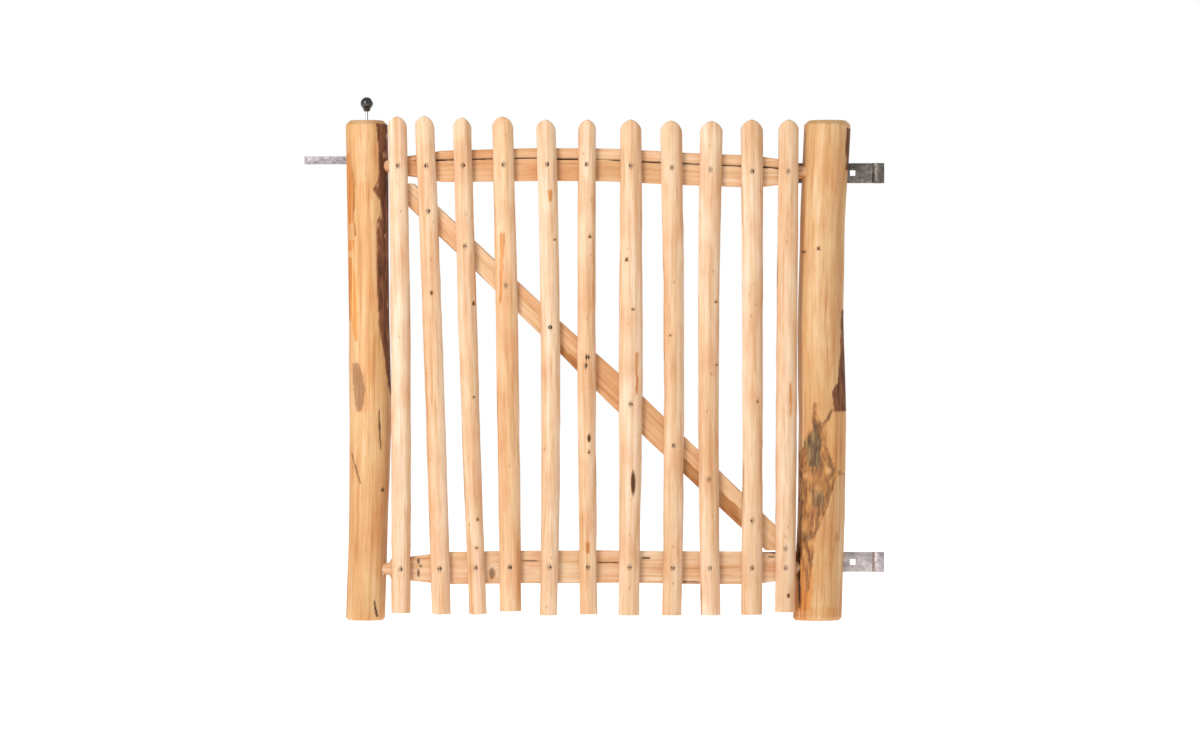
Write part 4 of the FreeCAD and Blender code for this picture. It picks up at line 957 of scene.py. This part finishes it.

# ---------------------------------------------------------------------------------------------
# Hinge straps: flat steel rolled into an eye, hot-dip galvanised, let into the post and the
# rails' backs. One zinc is given twice: darker grey on the upper one as painted shade, and
# lighter grey on the lower one as painted reflection.


def softened(node, body, material, width, angle=35):
    """A copy of a CAD piece with its sharp edges rounded by width, in mm, to catch the light."""
    made = bmesh.new()
    made.from_mesh(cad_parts[node].data)
    bmesh.ops.remove_doubles(made, verts=made.verts, dist=2e-6)
    bmesh.ops.dissolve_limit(made, angle_limit=math.radians(1), verts=made.verts, edges=made.edges)
    mesh = bpy.data.meshes.new(node + "_finish")
    made.to_mesh(mesh)
    made.free()
    ob = bpy.data.objects.new(node + "_finish", mesh)
    bpy.context.scene.collection.objects.link(ob)
    bevel = ob.modifiers.new("edge", "BEVEL")
    bevel.width = width * MM
    bevel.segments = 3
    bevel.limit_method = "ANGLE"
    bevel.angle_limit = math.radians(angle)
    bpy.context.view_layer.update()
    final = bpy.data.meshes.new_from_object(ob.evaluated_get(bpy.context.evaluated_depsgraph_get()))
    ob.modifiers.clear()
    ob.data = final
    final.materials.clear()
    final.materials.append(material)
    final.shade_smooth()
    final.set_sharp_from_angle(angle=math.radians(angle))
    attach(ob, body)
    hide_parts(node)


# Hot-dip zinc cools into crystals some 5 mm across, each of its own grey.
# painted light: two copies of one zinc, the upper strap's darkened as painted shade and the lower strap's
# lightened as painted reflection
shaded_zinc = metal("shaded_galvanised_steel", ("#625C57", "#766F69", "#8C8680"), 5, 0.46, "#5A544F")
lit_zinc = metal("bright_galvanised_steel", ("#A59D9D", "#B9B0B0", "#CEC7C7"), 5, 0.44, "#948C8A")
softened("upper_hinge_strap", "leaf", shaded_zinc, 0.5)
softened("lower_hinge_strap", "leaf", lit_zinc, 0.5)

# ---------------------------------------------------------------------------------------------
# Fasteners behind: coach screws on washers hold the straps to the post, four wood screws hold
# them to the rails, and one screw locks each rail's tenon. All are bright zinc plated.
plated = metal("bright_zinc_plate", ("#A8A6A2", "#C8C6C2", "#E2E0DC"), 0.8, 0.3)
softened("coach_screws", "leaf", plated, 0.4)
softened("coach_washers", "leaf", plated, 0.3)
softened("strap_screws", "leaf", plated, 0.2)
softened("tenon_lock_screws", "leaf", plated, 0.3)

# ---------------------------------------------------------------------------------------------
# Latch: a flat galvanised bar that pivots on a pin in the post's slot. It falls by its own
# weight, and a pull rod lifts it through a clevis on the pin at its inner end.
latch_zinc = metal("worn_galvanised_bar", ("#767070", "#908A8B", "#A9A3A4"), 4, 0.42, "#6B6664")
softened("latch_bar", "latch", latch_zinc, 0.6)
softened("latch_pivot_pin", "leaf", plated, 0.3)
softened("rod_clevis", "pull", plated, 0.3)
softened("clevis_pin", "pull", plated, 0.3)
softened("pull_rod", "pull", plated, 0.3)


# Ball knob: moulded in black phenolic, polished, screwed on the rod. It shows soft white
# reflections of the lamps over a near-black body with faint swirls and dust.
def phenolic(name):
    """Polished black phenolic."""
    made = bpy.data.materials.new(name)
    made.use_nodes = True
    tree = made.node_tree
    tree.nodes.clear()
    place = add(tree, "ShaderNodeTexCoord", out="Object")
    # moulding swirls 6 mm across, dust 0.4 mm
    swirl = add(
        tree,
        "ShaderNodeTexNoise",
        {"Vector": place, "Scale": 1000 / 6, "Detail": 4, "Roughness": 0.6, "Distortion": 1.5},
    )
    dust = add(tree, "ShaderNodeTexNoise", {"Vector": place, "Scale": 1000 / 0.4, "Detail": 2})
    colour = add(
        tree,
        "ShaderNodeValToRGB",
        {"Fac": swirl},
        stops=((0.35, "#1E1B1A"), (0.6, "#2C2826"), (0.75, "#3D3835")),
    )
    grey = add(tree, "ShaderNodeValToRGB", {"Fac": dust}, stops=((0.64, "#000000"), (0.75, "#5A5653")))
    both = {0: 0.5, 6: colour, 7: grey}
    colour = add(tree, "ShaderNodeMix", both, out=2, data_type="RGBA", blend_type="ADD")
    rough = add(tree, "ShaderNodeMath", {0: swirl, 1: 0.2, 2: 0.08}, operation=GAIN)
    bump = add(tree, "ShaderNodeBump", {"Height": swirl, "Strength": 0.08, "Distance": 0.0003}, out="Normal")
    shader = add(
        tree,
        "ShaderNodeBsdfPrincipled",
        {"Base Color": colour, "Roughness": rough, "Normal": bump, "IOR": 1.6},
    )
    add(tree, "ShaderNodeOutputMaterial", {"Surface": shader})
    return made


softened("ball_knob", "pull", phenolic("polished_black_phenolic"), 0.3, 40)

# ---------------------------------------------------------------------------------------------
# Studio: a white floor, a large soft light ahead on the left, a weaker one behind, an even sky
# and a long lens straight ahead.
FLOOR_REACH = 30.0
floor_mesh = bpy.data.meshes.new("floor")
corners = [(x * FLOOR_REACH, y * FLOOR_REACH) for x, y in ((-1, -1), (1, -1), (1, 1), (-1, 1))]
floor_mesh.from_pydata([(x, y, cad_low.z) for x, y in corners], [], [(0, 1, 2, 3)])
white = bpy.data.materials.new("white_paper")
white.use_nodes = True
paper = white.node_tree.nodes["Principled BSDF"].inputs
paper["Base Color"].default_value = linear("#FCFCFC")
paper["Roughness"].default_value = 0.9
paper["Emission Color"].default_value = (1, 1, 1, 1)
paper["Emission Strength"].default_value = 0.6
floor_mesh.materials.append(white)
floor = bpy.data.objects.new("floor", floor_mesh)
bpy.context.scene.collection.objects.link(floor)

# the sky lights the gate softly and shows as plain white
sky = bpy.data.worlds.new("studio")
bpy.context.scene.world = sky
sky.use_nodes = True
sky.node_tree.nodes.clear()
straight = add(sky.node_tree, "ShaderNodeLightPath", out="Is Camera Ray")
SKY_LIGHT, SKY_SHOWN = 0.47, 1.0
strength = add(
    sky.node_tree,
    "ShaderNodeMath",
    {0: straight, 1: SKY_SHOWN - SKY_LIGHT, 2: SKY_LIGHT},
    operation=GAIN,
)
light = add(sky.node_tree, "ShaderNodeBackground", {"Color": (1, 1, 1, 1), "Strength": strength})
add(sky.node_tree, "ShaderNodeOutputWorld", {"Surface": light})


def lamp(name, place, size, power):
    """A soft box aimed at the gate's middle."""
    light = bpy.data.lights.new(name, "AREA")
    light.shape = "RECTANGLE"
    light.size, light.size_y = size
    light.energy = power
    ob = bpy.data.objects.new(name, light)
    ob.location = place
    aim = (cad_low + cad_high) / 2 - Vector(place)
    ob.rotation_euler = aim.to_track_quat("-Z", "Y").to_euler()
    bpy.context.scene.collection.objects.link(ob)


lamp("key", (-3.4, -3.6, 2.4), (1.6, 2.2), 160)
lamp("rear_fill", (1.8, 4.2, 2.6), (2.0, 2.0), 70)
bpy.context.scene.view_settings.view_transform = "Standard"

camera = bpy.data.cameras.new("camera")
camera.lens = 135
camera.sensor_width = 36
camera.clip_end = 60
eye = bpy.data.objects.new("camera", camera)
eye.location = (-0.558, -9.03, 0.375)
eye.rotation_euler = (math.radians(90), 0, 0)
bpy.context.scene.collection.objects.link(eye)
bpy.context.scene.camera = eye
